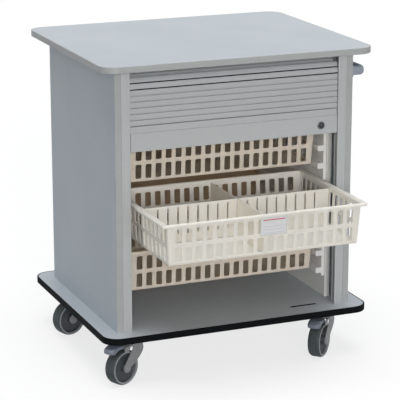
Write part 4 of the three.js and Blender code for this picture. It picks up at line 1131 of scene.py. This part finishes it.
def addCasters():
    # the same shapes at each corner, turned the way its wheel trails
    tyre, ring, disc = wheelShapes(casterForm)
    plate, axle = casterPlate(plateForm), axleShape(casterForm)
    pedal = pedalShape(pedalForm, casterForm)
    for word in ("front_left", "front_right", "rear_left", "rear_right"):
        name = word.replace("_l", "L").replace("_r", "R")
        braked = word + "_brake_press" in jointOf
        pivot, turn = turnedAt(word)

        def addPart(label, shape, finish, body, slot, *replaced, **edges):
            addPiece(name + label, moveShape(shape, pivot, turn), finish, word + body, slot,
                     [word + node for node in replaced], **edges)

        addPiece(name + "Plate", moveShape(plate, pivot), zinc, "cabinet", "zinc_steel",
                 [word + "_caster_plate"], sharpFrom=30)
        addPart("Fork", forkShape(forkForm, casterForm, braked), nylon, "_swivel", "caster_fork", "_fork",
                rounding=forkForm["edgeRound"], sharpFrom=30)
        addPart("Axle", axle, nylon, "_swivel", "caster_fork", "_axle")
        addPart("Tyre", tyre, tread, "_wheel", "tyre", "_tyre", sharpFrom=60)
        addPart("Ring", ring, wheelGrey, "_wheel", "wheel_rim", "_wheel_rim")
        addPart("Disc", disc, wheelDark, "_wheel", "wheel_rim")
        if braked:
            addPart("Pedal", pedal, pedalNylon, "_brake", "caster_fork", "_brake_pedal",
                    rounding=pedalForm["edgeRound"], sharpFrom=50)


addCasters()
print("casters")


# Floor, light and camera

stageForm = {"floorHalf": 30.0, "floorTone": (140, 141, 142), "floorRough": 0.9, "floorSpecular": 0.1,
             "floorGlow": 0.75, "skyTone": (246, 248, 250), "skyLow": 0.16, "skyHigh": 0.40}
lampForm = {
    "softKey": {"toLamp": (-0.03, -0.06, 0.99), "power": 1.64, "spread": 40.0, "tone": (255, 254, 251)},
    "frontFill": {"toLamp": (-0.22, -0.96, 0.15), "power": 1.94, "spread": 28.0, "tone": (255, 252, 247)}}
cameraForm = {"lens": 164.40, "sensor": 36.0, "place": (-1.9607, -4.6514, 1.8225), "yaw": 22.603,
              "pitch": 15.359, "farthest": 100.0}


def seenRays(tree):
    # one for rays that come straight from the camera, off a mirror or through glass, none for the others
    path = addNode(tree, "ShaderNodeLightPath").outputs
    mirrored = maths(tree, "MAXIMUM", path["Is Camera Ray"], path["Is Glossy Ray"])
    return maths(tree, "MAXIMUM", mirrored, path["Is Transmission Ray"])


def addStage(form):
    # a pale floor that goes white where the camera sees it unshaded, under a plain bright sky
    t = np.array([-form["floorHalf"], form["floorHalf"]])
    x, y = np.meshgrid(t, t)
    mesh = bpy.data.meshes.new("floor")
    mesh.from_pydata(np.stack([x, y, 0 * x], -1).reshape(-1, 3).tolist(), [], gridFaces(2, 2).tolist())
    finish, tree, shader = newFinish("floorPaper")
    fillInputs(tree, shader, {
        "Base Color": tone(*form["floorTone"]), "Roughness": form["floorRough"],
        "Specular IOR Level": form["floorSpecular"], "Emission Color": (1, 1, 1, 1),
        "Emission Strength": maths(tree, "MULTIPLY", seenRays(tree), form["floorGlow"])})
    mesh.materials.append(finish)
    addObject("floor", mesh)

    scene.world = bpy.data.worlds.new("studio")
    scene.world.use_nodes = True
    tree = scene.world.node_tree
    tree.nodes.clear()
    way = addNode(tree, "ShaderNodeTexCoord").outputs["Generated"]
    height = addNode(tree, "ShaderNodeSeparateXYZ", {0: way}).outputs[2]
    glow = remap(tree, height, 0.0, 1.0, form["skyLow"], form["skyHigh"])
    sky = addNode(tree, "ShaderNodeBackground", {"Color": tone(*form["skyTone"]), "Strength": glow})
    white = addNode(tree, "ShaderNodeBackground", {"Color": (1, 1, 1, 1), "Strength": 1.0})
    mix = addNode(tree, "ShaderNodeMixShader", {0: seenRays(tree), 1: sky.outputs[0], 2: white.outputs[0]})
    addNode(tree, "ShaderNodeOutputWorld", {0: mix.outputs[0]})


def addLamps(form):
    # broad soft lights from far off, so that the floor is lit evenly
    for name, lamp in form.items():
        light = bpy.data.lights.new(name, "SUN")
        light.energy = lamp["power"]
        light.angle = math.radians(lamp["spread"])
        light.color = tone(*lamp["tone"])[:3]
        addObject(name, light).rotation_euler = Vector(lamp["toLamp"]).to_track_quat("Z", "Y").to_euler()


def addCamera(form):
    camera = bpy.data.cameras.new("photoCamera")
    camera.sensor_width = form["sensor"]
    camera.lens = form["lens"]
    camera.clip_end = form["farthest"]
    holder = addObject("photoCamera", camera)
    holder.location = form["place"]
    holder.rotation_euler = (math.radians(90 - form["pitch"]), 0, math.radians(-form["yaw"]))
    scene.camera = holder


addStage(stageForm)
addLamps(lampForm)
addCamera(cameraForm)
print("stage")
